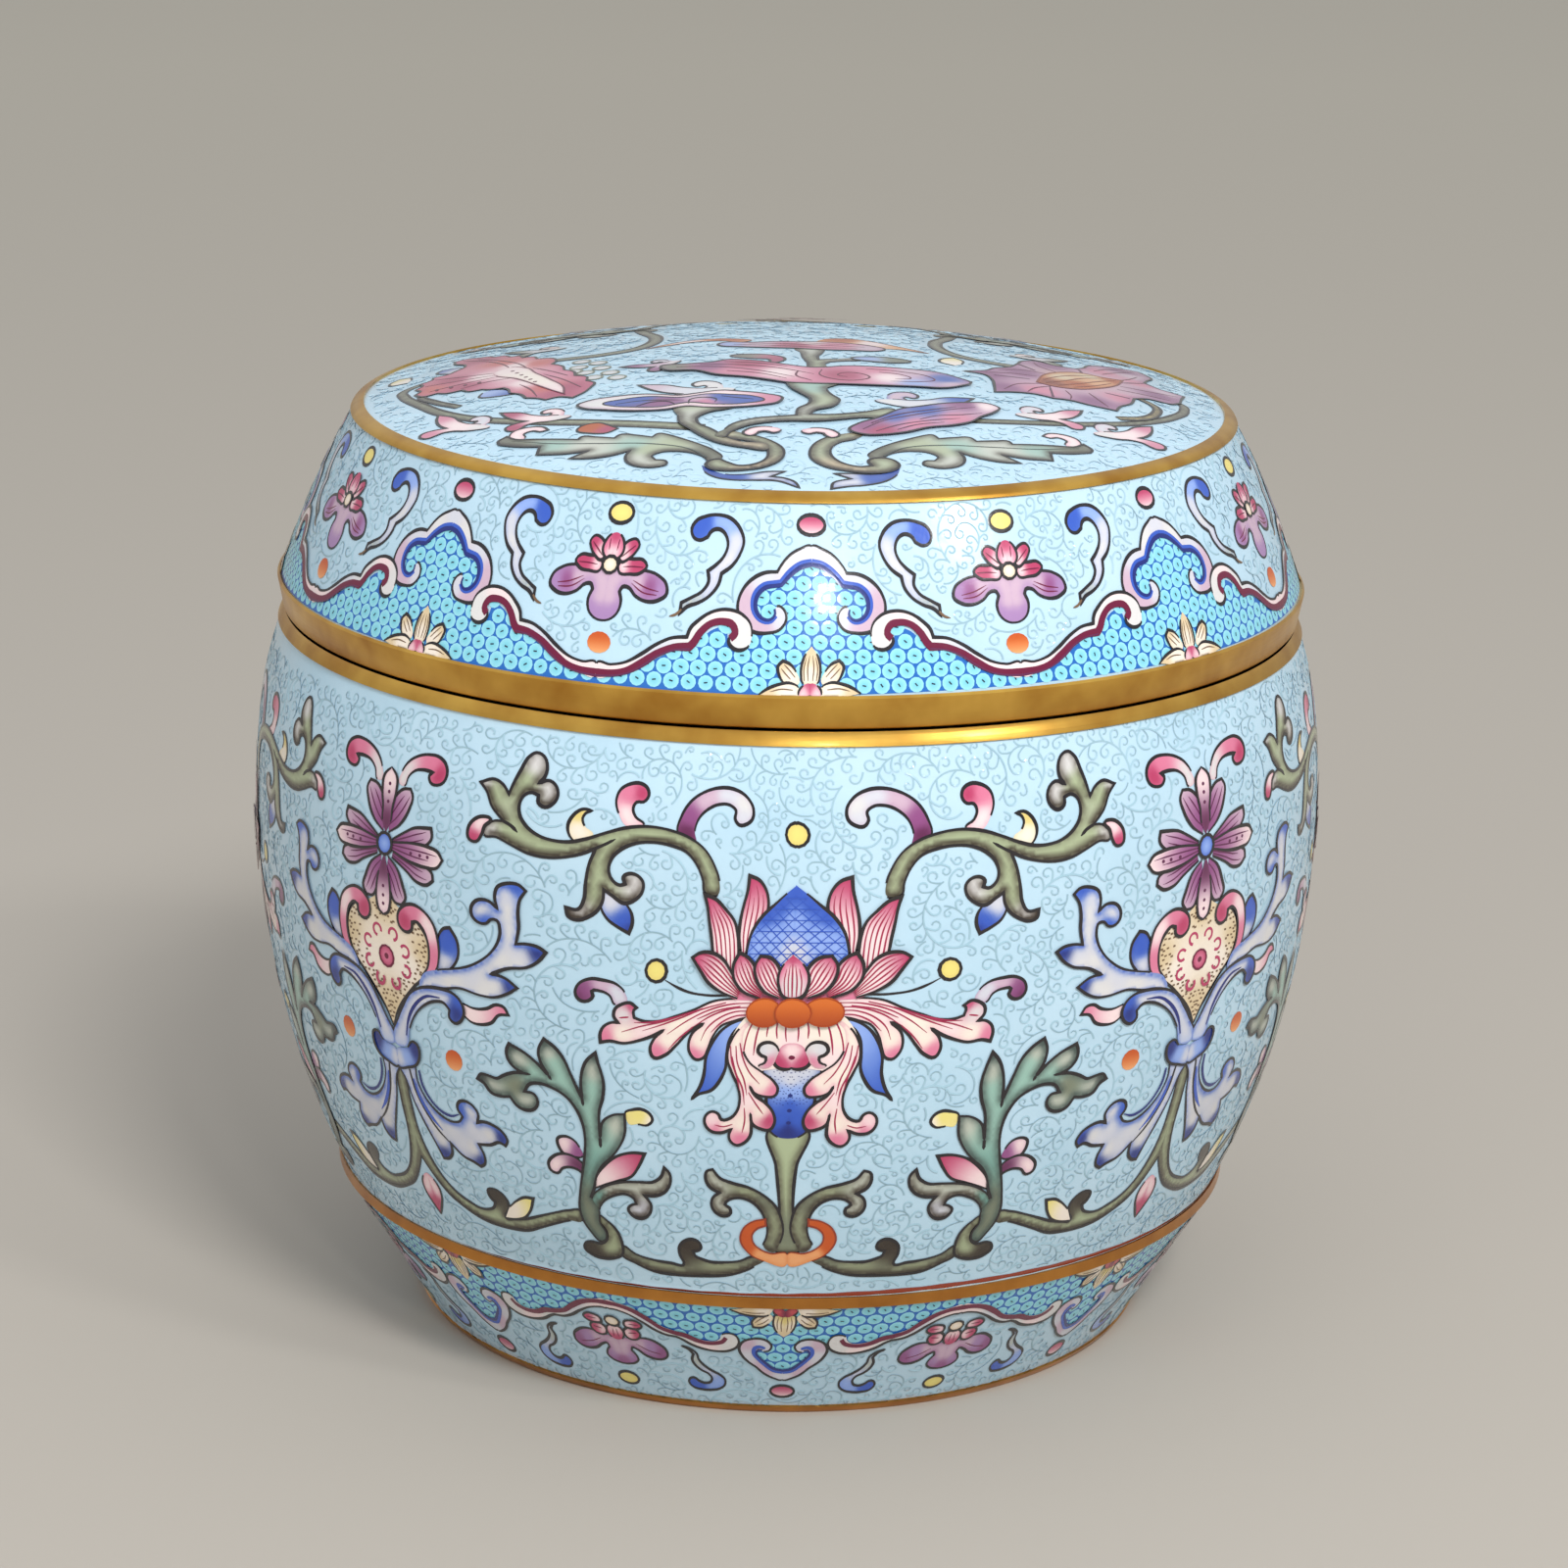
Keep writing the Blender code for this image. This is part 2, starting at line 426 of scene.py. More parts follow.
def turn(name, line, finish, blue=None):
    """A turned piece from a section in mm, closed by the axis or by its own last point."""
    cut = bpy.data.meshes.new(name)
    spots = [(r * MM, 0, z * MM) for r, z in line]
    cut.from_pydata(spots, [(i, i + 1) for i in range(len(spots) - 1)], [])
    tone = cut.attributes.new("blue", "FLOAT", "POINT")
    tone.data.foreach_set("value", np.zeros(len(spots)) if blue is None else blue)
    piece = as_piece(name, cut, LATHE, Steps=TURN_STEPS, Finish=finish)
    piece.data.shade_smooth()
    piece.data.set_sharp_from_angle(angle=SHARP_FROM)
    return piece


LATHE = lathe_tree()

# %% [markdown]
# ## The porcelain
# Jar and lid are turned from their own sections, with the inside and the true wall, so the jar is
# open and empty under the lid. The outside is blue, the collar, the foot ring and the inside white.


# %% Turn the jar and the lid
def dressed(line, blue_from, blue_to):
    """The blue share at each point of a section: 1 between two of its points and 0 elsewhere."""
    return [float(blue_from <= i < blue_to) for i in range(len(line))]


underside = [(0, jar_cut[0, 1])] + [tuple(p) for p in jar_cut[:FOOT_LOW]]
inside = eased(jar_cut[RIM_TOP:])
floor = [(0, jar_cut[-1, 1])]
jar_line = np.concatenate([underside, foot_line, belly_line, inside, floor])
jar_blue = dressed(jar_line, len(underside), len(underside) + len(foot_line) + len(belly_line))
jar = turn("jar_porcelain", jar_line, glaze("jar_glaze"), jar_blue)

lid_inside = eased(lid_cut[: BAND_LOW + 1])
lid_line = np.concatenate([lid_inside, side_line, dome_line])
lid_blue = dressed(lid_line, len(lid_inside), len(lid_line))
lid = turn("lid_porcelain", lid_line, glaze("lid_glaze"), lid_blue)
print("jar:", len(jar.data.polygons), "faces; lid:", len(lid.data.polygons), "faces")


# %% [markdown]
# ## The gilt rings
# Gold covers the lid's edge and its upper ring, the jar's rim, the fillet over the foot and the edge
# it stands on. Each is a thin closed band turned on the same lathe. It stands on the measured
# surface, with its back inside the porcelain, so no ring floats and none cuts the enamel.


# %% Turn the gilt rings
GILT_DEPTH = 0.8
BASE_GILT = 1.0
RING_LAP = 0.3


def gilt_ring(name, face, finish):
    """A closed band whose face follows points of a section and whose back lies inside the wall."""
    face = np.asarray(face, float)
    back = face - GILT_DEPTH * square_to(face)
    return turn(name, np.concatenate([face, back[::-1], face[:1]]), finish)


def at_height(line, height):
    """The point of a section at a height."""
    return np.array([np.interp(height, line[:, 1], line[:, 0]), height])


def rounded(start, end, bulge, count=6):
    """A shallow arc from one point to another that stands out by the bulge."""
    start, end = np.asarray(start, float), np.asarray(end, float)
    t = np.linspace(0, 1, count)[:, None]
    along = (end - start) / np.linalg.norm(end - start)
    return start + (end - start) * t + 4 * bulge * t * (1 - t) * np.array([along[1], -along[0]])


gold_finish = gilding("gilding", GOLD, GOLD_WORN)
# The gold of the two foot rings is painted darker and redder, as painted shade.
shaded_gold = gilding("gilding_low", SHADED_GOLD, SHADED_GOLD_WORN)
foot_face = jar_cut[FOOT_LOW : FOOT_TOP + 1]
side_face = lid_cut[SIDE_LOW : SIDE_TOP + 1]
dome_face = lid_cut[DOME_EDGE:]
lap_low = at_height(side_face, side_face[-1, 1] - RING_LAP)
base_face = [*jar_cut[FOOT_LOW - 1 : FOOT_LOW + 1], at_height(foot_face, BASE_GILT)]
inward = dome_face[1] - dome_face[0]
lap_high = dome_face[0] + inward * RING_LAP / np.linalg.norm(inward)
ring_face = [lap_low, side_face[-1], dome_face[0], lap_high]
gilt = [
    gilt_ring("gilt_base", base_face, shaded_gold),
    gilt_ring("gilt_fillet", rounded(jar_cut[FOOT_TOP], jar_cut[BELLY_LOW], -0.02), shaded_gold),
    gilt_ring("gilt_rim", jar_cut[BELLY_TOP : RIM_TOP + 2], gold_finish),
    gilt_ring("gilt_lid_edge", lid_cut[BAND_LOW - 1 : SIDE_LOW + 1], gold_finish),
    gilt_ring("gilt_lid_ring", smooth(ring_face, [False] * 4, 0.4)[0], gold_finish),
]
print("gilt rings:", [ring.name for ring in gilt])

# %% [markdown]
# ## The enamels
# The painter mixes each tone from a few enamels, so the scene keeps them in one list under their own
# names. Every painted mesh carries its tones as an attribute, and one glossy material reads it. A
# material for each tone would make the same picture with 35 times the settings.

# %% The painter's colours
ENAMELS = {
    "ink": (30, 26, 30), "bark": (48, 38, 30), "olive": (150, 158, 126), "moss": (164, 176, 140),
    "slate": (116, 122, 102), "ash": (186, 190, 176), "teal": (112, 162, 152), "mint": (146, 184, 170),
    "pine": (56, 70, 66), "rose": (174, 54, 94), "pink": (210, 116, 146), "blush": (236, 212, 212),
    "wine": (102, 4, 50), "plum": (90, 32, 72), "purple": (136, 72, 124), "lilac": (196, 168, 186),
    "navy": (18, 36, 112), "blue": (46, 84, 182), "sky": (138, 166, 226), "mist": (202, 203, 212),
    "white": (212, 210, 209), "cream": (236, 224, 210), "yellow": (228, 213, 120), "straw": (216, 194, 112),
    "orange": (188, 76, 18), "peach": (228, 160, 106), "rust": (140, 50, 24), "coral": (206, 84, 82),
    "crimson": (156, 38, 74), "violet": (158, 122, 170), "amber": (204, 104, 36), "ring": (26, 98, 178),
    "sepia": (110, 84, 60), "tan": (212, 190, 152), "ember": (158, 60, 14),
}
TONES = {name: np.array(tone) / 255 for name, tone in ENAMELS.items()}


def enamel(name):
    """Glossy enamel whose tone comes from the painted mesh."""
    made = Shader(name, Metallic=0.0, Coat_Weight=0.3, Coat_Roughness=0.05)
    tone = made.add("ShaderNodeAttribute", output="Color", attribute_name="tone")
    brush = made.noise(900.0, 3.0)
    made.feed("Base Color", made.mix((brush - 0.4) * 0.35, tone, (0.9, 0.88, 0.86, 1.0), "MULTIPLY"))
    made.feed("Roughness", brush * 0.14 + 0.16)
    made.bump(made.noise(1500.0, 2.0), 0.00003, 0.5)
    return made.material


# %% [markdown]
# ## Brush, outline and coats
# Each motif is drawn the way a painter draws it: an outline through a few points, a wash of tones
# inside it, darker towards the edge, then veins and a dark line. Points are in millimetres along and
# up the wall. A ! after a point is a sharp corner, and a ~ means that the ink lifts until the next
# point. Enamels that overlap must not share a height, or they would flicker, so a fine grid counts
# the coats on every spot and each new one goes on top. The same grid later keeps the scroll off.

# %% Reading an outline
LINE_STEP, GRAIN, CELL = 0.38, 0.5, 0.2
FIRST_COAT, COAT = 0.030, 0.018
INK_WIDTH, FINE = 0.42, 0.3
LEAN = 0.28
WASH_WEIGHT, DAB_SPREAD, DAB_FALL = 0.02, 0.45, 1.8
SWAY_OF_WIDTH = 0.12
HATCH_STEP = 0.35


def turning(spots, faces):
    """Twice the flat area of each triangle, under 0 where it lies face down."""
    first, second, third = (spots[faces[:, i], :2] for i in range(3))
    return np.cross(second - first, third - first)


def places(text):
    """Points written as u,v with ! for a corner and ~ where the ink lifts."""
    words = text.split()
    points = np.array([[float(n) for n in word.rstrip("!~").split(",")] for word in words])
    return points, ["!" in word for word in words], np.array(["~" in word for word in words])


def drawn(text, closed=False):
    """The line through a text's points, and whether the ink is down after each of its own points."""
    points, corner, lifted = places(text)
    line, owner = smooth(points, corner, LINE_STEP, closed)
    return line, ~lifted[owner]


def along(line):
    """How far each point of a line is from its start, in mm."""
    return np.concatenate([[0], np.cumsum(np.linalg.norm(np.diff(line, axis=0), axis=1))])


def evenly(line, count):
    """The line at evenly spaced points."""
    length = along(line)
    at = np.linspace(0, length[-1], count)
    return np.stack([np.interp(at, length, line[:, 0]), np.interp(at, length, line[:, 1])], axis=1)


def inside_of(loop, spots):
    """Whether each spot is inside a closed line."""
    start, end = loop, np.roll(loop, -1, axis=0)
    across, up = spots[:, :1], spots[:, 1:]
    crosses = (start[:, 1] > up) != (end[:, 1] > up)
    rise = end[:, 1] - start[:, 1]
    slope = (end[:, 0] - start[:, 0]) / np.where(rise == 0, 1, rise)
    return ((across < start[:, 0] + (up - start[:, 1]) * slope) & crosses).sum(1) % 2 == 1


def gap_to(loop, spots):
    """The nearest point of the line to each spot, and how far it is."""
    reach = np.linalg.norm(spots[:, None] - loop[None], axis=2)
    nearest = reach.argmin(1)
    return loop[nearest], reach[np.arange(len(spots)), nearest]


# %% The painting of one repeat
class Painting:
    """Everything painted on one repeat of a pattern, flat and in mm, as points, tones and triangles."""

    def __init__(self, left, right, low, high):
        self.left, self.low = left, low
        self.coats = np.zeros((int((high - low) / CELL) + 2, int((right - left) / CELL) + 2), int)
        self.random = np.random.default_rng(7)
        self.points, self.tones, self.faces, self.count = [], [], [], 0

    def lift(self):
        """What has been painted since the last lift, as points, tones and faces. The coats stay."""
        lifted = tuple(np.concatenate(part) for part in (self.points, self.tones, self.faces))
        self.points, self.tones, self.faces, self.count = [], [], [], 0
        return lifted

    def keep(self, spots, heights, tones, faces):
        """Adds a mesh to the painting."""
        faces = np.asarray(faces, int).reshape(-1, 3)
        turned = turning(spots, faces) < 0
        faces[turned] = faces[turned][:, ::-1]
        self.points.append(np.column_stack([spots, np.broadcast_to(heights, len(spots))]))
        self.tones.append(np.broadcast_to(tones, (len(spots), 3)))
        self.faces.append(faces + self.count)
        self.count += len(spots)

    def cells(self, spots):
        """The grid cells under some spots."""
        column = ((spots[:, 0] - self.left) / CELL).astype(int).clip(0, self.coats.shape[1] - 1)
        up = ((spots[:, 1] - self.low) / CELL).astype(int).clip(0, self.coats.shape[0] - 1)
        return up, column

    def coat_over(self, spots):
        """Covers the cells under some spots with one more coat, and returns its height."""
        under = self.cells(spots)
        coat = self.coats[under].max() + 1
        self.coats[under] = coat
        return FIRST_COAT + coat * COAT

    def coat_in(self, loop):
        """Covers the inside of a closed line with one more coat, and returns its height."""
        return self.coat_over(np.concatenate([self.filling(loop, CELL * 0.9), loop]))

    def filling(self, loop, grain):
        """Evenly spread spots inside a closed line."""
        low, high = loop.min(0), loop.max(0)
        across = np.arange(low[0], high[0] + grain, grain)
        up = np.arange(low[1], high[1] + grain, grain * 0.87)
        x, y = np.meshgrid(across, up)
        x[1::2] += grain / 2
        spots = np.column_stack([x.ravel(), y.ravel()])
        return spots[inside_of(loop, spots)]

    def ink(self, line, width=INK_WIDTH, tone="ink", closed=False, thin=(1.0, 1.0)):
        """A brush line, crowned unless it is fine. Thin holds the width's shares at its two ends."""
        if len(line) < 2:
            return
        ring = closed and len(line) > 2
        ahead = np.roll(line, -1, axis=0) - line
        behind = line - np.roll(line, 1, axis=0)
        if not ring:
            ahead[-1], behind[0] = behind[-1], ahead[0]
        ahead /= np.maximum(np.linalg.norm(ahead, axis=1), TINY)[:, None]
        behind /= np.maximum(np.linalg.norm(behind, axis=1), TINY)[:, None]
        bisector = ahead + behind
        length = np.maximum(np.linalg.norm(bisector, axis=1), 0.9)
        square = np.column_stack([-bisector[:, 1], bisector[:, 0]]) / length[:, None] ** 2 * 2
        gone = along(line)
        share = gone / max(gone[-1], TINY)
        ends = np.minimum(1, thin[0] + (1 - thin[0]) * share * 4)
        ends = np.minimum(ends, thin[1] + (1 - thin[1]) * (1 - share) * 4)
        sway = 1 + SWAY_OF_WIDTH * np.sin(gone * 0.9 + line[0, 0] * 3)
        half = (width / 2 * (np.ones(len(line)) if ring else ends) * sway)[:, None]
        trail = evenly(line, int(gone[-1] / CELL * 1.5) + 2)
        around = np.array([(0, 0), (1, 0), (-1, 0), (0, 1), (0, -1)]) * width / 2
        height = self.coat_over((trail[:, None] + around).reshape(-1, 2))
        across = [1, -1] if width < FINE else [1, 0, -1]
        spots = np.stack([line + square * half * side for side in across], axis=1).reshape(-1, 2)
        crest = np.tile([0.0] * 2 if width < FINE else [0.0, COAT * 0.5, 0.0], len(line))
        rows = np.arange(len(line) if ring else len(line) - 1)
        here, there = rows * len(across), (rows + 1) % len(line) * len(across)
        faces = []
        for side in range(len(across) - 1):
            faces.append(np.column_stack([here + side, here + side + 1, there + side + 1]))
            faces.append(np.column_stack([here + side, there + side + 1, there + side]))
        self.keep(spots, height + crest, TONES[tone], np.concatenate(faces))

    def outline(self, line, down, width, tone):
        """Inks a closed line wherever the ink is down."""
        if down.all():
            self.ink(line, width, tone, closed=True)
            return
        start = int(np.argmin(down)) + 1
        line, down = np.roll(line, -start, axis=0), np.roll(down, -start)
        first = 0
        for stop in np.flatnonzero(~down):
            if stop > first:
                self.ink(line[first : stop + 1], width, tone, thin=(0.6, 0.6))
            first = stop + 1

    def wash(self, loop, spots, tone, dabs, edge, reach, strength, lean):
        """The tone at each spot: dabs of colour that fade into the wash, and an edge. The edge is
        stronger below where lean is above 0, and stronger above where it is under 0."""
        tones = np.tile(TONES[tone], (len(spots), 1))
        if dabs:
            weights, total = np.full(len(spots), WASH_WEIGHT), WASH_WEIGHT * tones
            for dab in dabs.split(";"):
                place, name = dab.split()
                far = ((spots - places(place)[0]) ** 2).sum(1)
                weight = 1 / (far + DAB_SPREAD) ** DAB_FALL
                weights += weight
                total += weight[:, None] * TONES[name]
            tones = total / weights[:, None]
        if edge:
            nearest, far = gap_to(loop, spots)
            downward = (spots - nearest)[:, 1] / np.maximum(far, 0.15)
            side = 1 - abs(lean) + lean * downward.clip(-1, 1)
            shade = (np.exp(-((far / reach) ** 2)) * strength * side).clip(0, 1)
            tones = tones * (1 - shade[:, None]) + TONES[edge] * shade[:, None]
        return tones

    def patch(self, loop, tone, dabs="", edge=None, reach=0.6, strength=0.8, lean=LEAN):
        """A wash inside a closed line."""
        grains = self.filling(loop, GRAIN)
        if len(grains):
            grains = grains[gap_to(loop, grains)[1] > GRAIN * 0.45]
        spots = [Vector(spot) for spot in np.concatenate([loop, grains])]
        found = delaunay_2d_cdt(spots, [], [list(range(len(loop)))], 1, 1e-5)
        spots, faces = np.array([tuple(spot) for spot in found[0]]), found[2]
        tones = self.wash(loop, spots, tone, dabs, edge, reach, strength, lean)
        self.keep(spots, self.coat_in(loop), tones, [face for face in faces if len(face) == 3])

    def shape(self, text, tone, dabs="", edge=None, reach=0.6, strength=0.8, width=INK_WIDTH,
              line="ink", lean=LEAN):
        """A washed shape with an inked outline."""
        loop, down = drawn(text, closed=True)
        self.patch(loop, tone, dabs, edge, reach, strength, lean)
        if line:
            self.outline(loop, down, width, line)
        return loop

    def petal(self, text, base, tip, veins=0, vein="crimson", width=INK_WIDTH, line="ink", start=0.2):
        """A petal from two edges that meet at its tip, the first corner: a wash from base to tip."""
        points, corner, _ = places(text)
        top = next(i for i in range(1, len(points) - 1) if corner[i])
        halves = (points[: top + 1], corner[: top + 1]), (points[top:][::-1], corner[top:][::-1])
        sides = [smooth(*side, LINE_STEP)[0] for side in halves]
        rows = max(4, math.ceil(max(along(side)[-1] for side in sides) / GRAIN)) + 1
        left, right = (evenly(side, rows) for side in sides)
        columns = max(3, math.ceil(np.linalg.norm(right - left, axis=1).max() / GRAIN)) + 1
        across = np.linspace(0, 1, columns)
        grid = left[:, None] + (right - left)[:, None] * across[:, None]
        share = np.linspace(0, 1, rows)
        blend = ((share - start) / (1 - start)).clip(0, 1)
        blend = (blend**2 * (3 - 2 * blend))[:, None] + 0.45 * (2 * across - 1) ** 4 * share[:, None]
        blend = blend.clip(0, 1)[..., None]
        tones = TONES[base] * (1 - blend) + TONES[tip] * blend
        net = np.arange(rows * columns).reshape(rows, columns)
        a, b, c, d = net[:-1, :-1], net[:-1, 1:], net[1:, 1:], net[1:, :-1]
        faces = np.concatenate([np.stack(t, -1).reshape(-1, 3) for t in ((a, b, c), (a, c, d))])
        loop = np.concatenate([sides[0], sides[1][::-1][1:]])
        self.keep(grid.reshape(-1, 2), self.coat_in(loop), tones.reshape(-1, 3), faces)
        for number in range(veins):
            path = left + (right - left) * ((number + 1) / (veins + 1))
            stop = int(rows * (0.86 - 0.1 * (number % 2)))
            self.ink(path[: max(stop, 2)], 0.2, vein, thin=(0.7, 0.2))
        if line:
            self.ink(loop, width, line, thin=(0.6, 0.6))

    def strokes(self, text, width=0.17, tone="crimson", thin=(0.6, 0.3)):
        """Fine free brush lines, with / between them."""
        for part in text.split("/"):
            self.ink(drawn(part)[0], width, tone, thin=thin)

    def dot(self, u, v, wide, high, tone, rim=None, line="ink", width=INK_WIDTH, below=None):
        """A round or oval dot, in a second tone towards its rim or at its lower edge."""
        turns = np.linspace(0, 2 * math.pi, max(8, int(wide * 9)), endpoint=False)
        loop = np.column_stack([u + wide * np.cos(turns), v + high * np.sin(turns)])
        height = self.coat_in(loop)
        spots, many = np.concatenate([loop, (loop + [u, v]) / 2, [[u, v]]]), len(loop)
        here = np.arange(many)
        there = (here + 1) % many
        faces = [
            np.column_stack([here, there, there + many]),
            np.column_stack([here, there + many, here + many]),
            np.column_stack([here + many, there + many, np.full(many, 2 * many)]),
        ]
        shares = np.concatenate([np.ones(many), np.full(many, 0.25), [0]])[:, None]
        if below:
            shares = ((v - spots[:, 1:]) / high * 0.6 + 0.4).clip(0, 1)
        tones = TONES[tone] * (1 - shares) + TONES[below or rim or tone] * shares
        self.keep(spots, height, tones, np.concatenate(faces))
        if line:
            self.ink(loop, width, line, closed=True)

    def hatch(self, loop, angle, gap, width, tone):
        """Fine parallel lines inside a closed line."""
        middle, size = loop.mean(0), np.ptp(loop, axis=0).max()
        direction = np.array([math.cos(angle), math.sin(angle)])
        square = np.array([-direction[1], direction[0]])
        for shift in np.arange(-size, size, gap):
            path = middle + square * shift + direction * np.arange(-size, size, HATCH_STEP)[:, None]
            kept = path[inside_of(loop, path)]
            if len(kept) > 3:
                self.ink(kept, width, tone, thin=(0.7, 0.7))

    def stipple(self, loop, gap, size, tone, reach=None):
        """Short fine dabs inside a closed line, near its edge if a reach is given."""
        spots = self.filling(loop, gap)
        spots = spots + self.random.uniform(-0.3, 0.3, spots.shape) * gap
        far = gap_to(loop, spots)[1]
        spots = spots[(far > 0.3) & (far < (reach or 99) * self.random.uniform(0.3, 1.0, len(spots)))]
        for spot in spots:
            self.ink(spot + np.array([[-size / 2, 0], [size / 2, 0.05]]), size * 0.6, tone)


print("enamels:", len(ENAMELS))

# %% [markdown]
# ## From the flat to the wall
# The patterns are drawn flat: u runs round the jar, measured where it is widest, and v is the height.
# Laying one on the wall turns u into an angle and reads the radius at v from the section. Each
# pattern is symmetrical and repeats, so its half is laid as it is and as its mirror image, all round.
# A slight slow sway of the hand keeps the repeats from being exact copies, and on the belly they drift
# by a millimetre or two, as a pattern does that is spaced by eye.

# %% Laying a painting on the wall
WIDEST = 70.0
HAND_SWAY = 0.16
BELLY_DRIFT = 1.0
LEFT_DRAWN_IN = 2.3
SLIVER = 2e-4


def on_wall(line, turn=0.0):
    """A function that lays flat spots on the wall of a section."""
    square = square_to(line)

    def lay(spots):
        u, v, height = spots.T
        v = v.clip(line[0, 1], line[-1, 1])
        radius, out, up = (np.interp(v, line[:, 1], values) for values in (line[:, 0], *square.T))
        angle = u / WIDEST + turn
        reach = radius + height * out
        return np.column_stack([reach * np.sin(angle), -reach * np.cos(angle), v + height * up])

    return lay


def swayed(spots, drift=0.0):
    """Flat spots, moved by the sway of the hand and by the drift of the repeats."""
    turn, v = spots[:, 0] / WIDEST, spots[:, 1]
    sway_u = np.sin(3 * turn + v * 0.11) + np.sin(7 * turn - v * 0.23 + 1)
    sway_v = np.sin(5 * turn + v * 0.17 + 2) + np.sin(2 * turn - v * 0.13)
    drift_u = 1.56 * np.sin(turn) + 0.8 * (1 - np.cos(2 * turn))
    drift_v = 0.7 * np.sin(turn) - 0.5 * (1 - np.cos(2 * turn))
    to_left = (-turn % (2 * math.pi) / 0.6).clip(0, 1)
    drift_u += LEFT_DRAWN_IN * np.sin(math.pi * to_left) * ((v - 48) / 16).clip(0.3, 1)
    moved_by = HAND_SWAY * np.stack([sway_u, sway_v]) + drift * np.stack([drift_u, drift_v])
    return np.column_stack([spots[:, :2] + moved_by.T, spots[:, 2:]])


def all_round(layer, repeats, drawn_half, drift=0.0):
    """The half pattern and its mirror image, repeated all round, as points, tones and faces."""
    points, tones, faces = layer
    half = math.pi * WIDEST / repeats
    points = points * [half / drawn_half, 1, 1]
    points[:, 0] = points[:, 0].clip(0, half)
    faces = faces[turning(points, faces) > SLIVER]
    spots, every = [], []
    for k in range(repeats):
        for side in (1, -1):
            every.append((faces if side > 0 else faces[:, ::-1]) + len(spots) * len(points))
            spots.append(points * [side, 1, 1] + [2 * half * k, 0, 0])
    spots = np.concatenate(spots)
    return swayed(spots, drift), np.tile(tones, (2 * repeats, 1)), np.concatenate(every)


def painted(name, spots, tones, faces, place):
    """A painted mesh, laid in its place, with its tones as a colour attribute."""
    used, faces = np.unique(faces, return_inverse=True)
    spots, tones = place(spots[used]) * MM, tones[used]
    mesh = bpy.data.meshes.new(name)
    mesh.from_pydata(spots.tolist(), [], faces.reshape(-1, 3).tolist())
    light = np.column_stack([linear(tones), np.ones(len(tones))])
    mesh.color_attributes.new("tone", "FLOAT_COLOR", "POINT").data.foreach_set("color", light.ravel())
    mesh.materials.append(ENAMEL)
    mesh.shade_smooth()
    print(name, "has", len(mesh.polygons), "triangles")
    return shown(name, mesh)


ENAMEL = enamel("enamel")

# %% [markdown]
# ## The belly: lotus and scrolling leaves
# Four lotus flowers stand round the belly, with a blue and white spray between each two. Every motif
# is the same on both sides of its axis, so only half of one repeat is drawn, from the middle of a
# lotus to the middle of a spray, and then mirrored. What lies behind is drawn first.

# %% The space of one half repeat
BELLY_REPEATS, BELLY_HALF = 4, 56.4
belly = Painting(-3, 60, 18, 96)


def lay_belly(name):
    """Lays what was painted on the belly since the last lift, as one piece."""
    spread = all_round(belly.lift(), BELLY_REPEATS, BELLY_HALF, BELLY_DRIFT)
    return painted(name, *spread, on_wall(belly_line))


# %% The fine red line over the gilt fillet
belly.strokes("-0.5,20.66 14,20.66 28,20.66 42,20.66 57,20.66", 0.62, "rust", (1, 1))

# %% The low stem, its knot and the stem to the spray
GREENS = {"edge": "bark", "reach": 0.82, "strength": 1.18, "lean": 0.42}
belly.shape("""3.4,26.3~ 4.9,25.1 7.8,23.9 12.2,23.35 16.6,23.2 20.2,23.5 22.5,24.4 24.3,25.4~ 24.2,27.1~
    23.7,26.9 22.2,25.85 20.2,25.3 17.2,25 15.2,25 15.6,26.3 15.5,27.6 14.6,28.5 13.4,28.8 12.5,28.3
    12.4,27.5 13,27.1 13.6,27! 13.4,26.4 12.4,25.9 11.35,25.6 9.3,25.6 6.9,25.9 5,26.6""", "slate",
    "10,24.9 olive;18,24.4 olive;14.3,28 bark", **GREENS)
belly.shape("""29.5,29.8~ 31.3,29.6 33.65,28.8 36,27.8 38.65,26.7 41.3,26.35 44.8,26.35 47.8,26.9
    50.4,27.9 52.5,29.1 53.9,30.4 55.1,31.9 56.4,34~ 56.5,47~ 55.7,45.6 55.4,42 55.3,38.35 54.8,35.7
    53.9,33.35 52.5,31.3 50.7,29.8 48.6,28.9 46.6,28.4 45.1,28.6 43.9,29.2 43.5,30! 44.2,30.6 44.4,31.6
    43.35,32.1 42,31.7 41.2,30.6 41.4,29.2 42.2,28 40.4,28.1 38.65,28.5 36.3,29.4 33.65,30.4 31.3,31.15
    29.5,31.3""", "olive", "35,29.4 moss;44,27.4 moss;50,28.9 moss;43.2,31.2 bark;55.6,37 moss", **GREENS)
belly.shape("""24.3,25.4 23.9,27.2 24.3,28.9 25.5,30.3 26.9,31~ 26.8,30! 26,28.9 26.1,27.6 27.2,26.8
    28.65,26.9 29.5,26.6 29.9,25.7 28.9,24.8 27.2,24.5 25.4,24.8""", "olive", "25,27 moss;28.9,25.4 bark",
    **GREENS)
belly.petal("41,29.9 39.5,31.15 38.1,31.9 36.7,32! 37.5,30.1 38.65,28.8 40.4,28.1 42.2,27.9",
    "cream", "yellow")

# %% The pink drop under the spray
belly.shape("56.4,31.4~ 55.3,30.7 54.6,29.4 54.7,28 55.4,26.6 56.4,25!~ 56.5,28~", "pink",
    "56.2,30.6 blush;55,29.4 blush;56.2,26.6 rose", "rose", 0.5, 0.5)

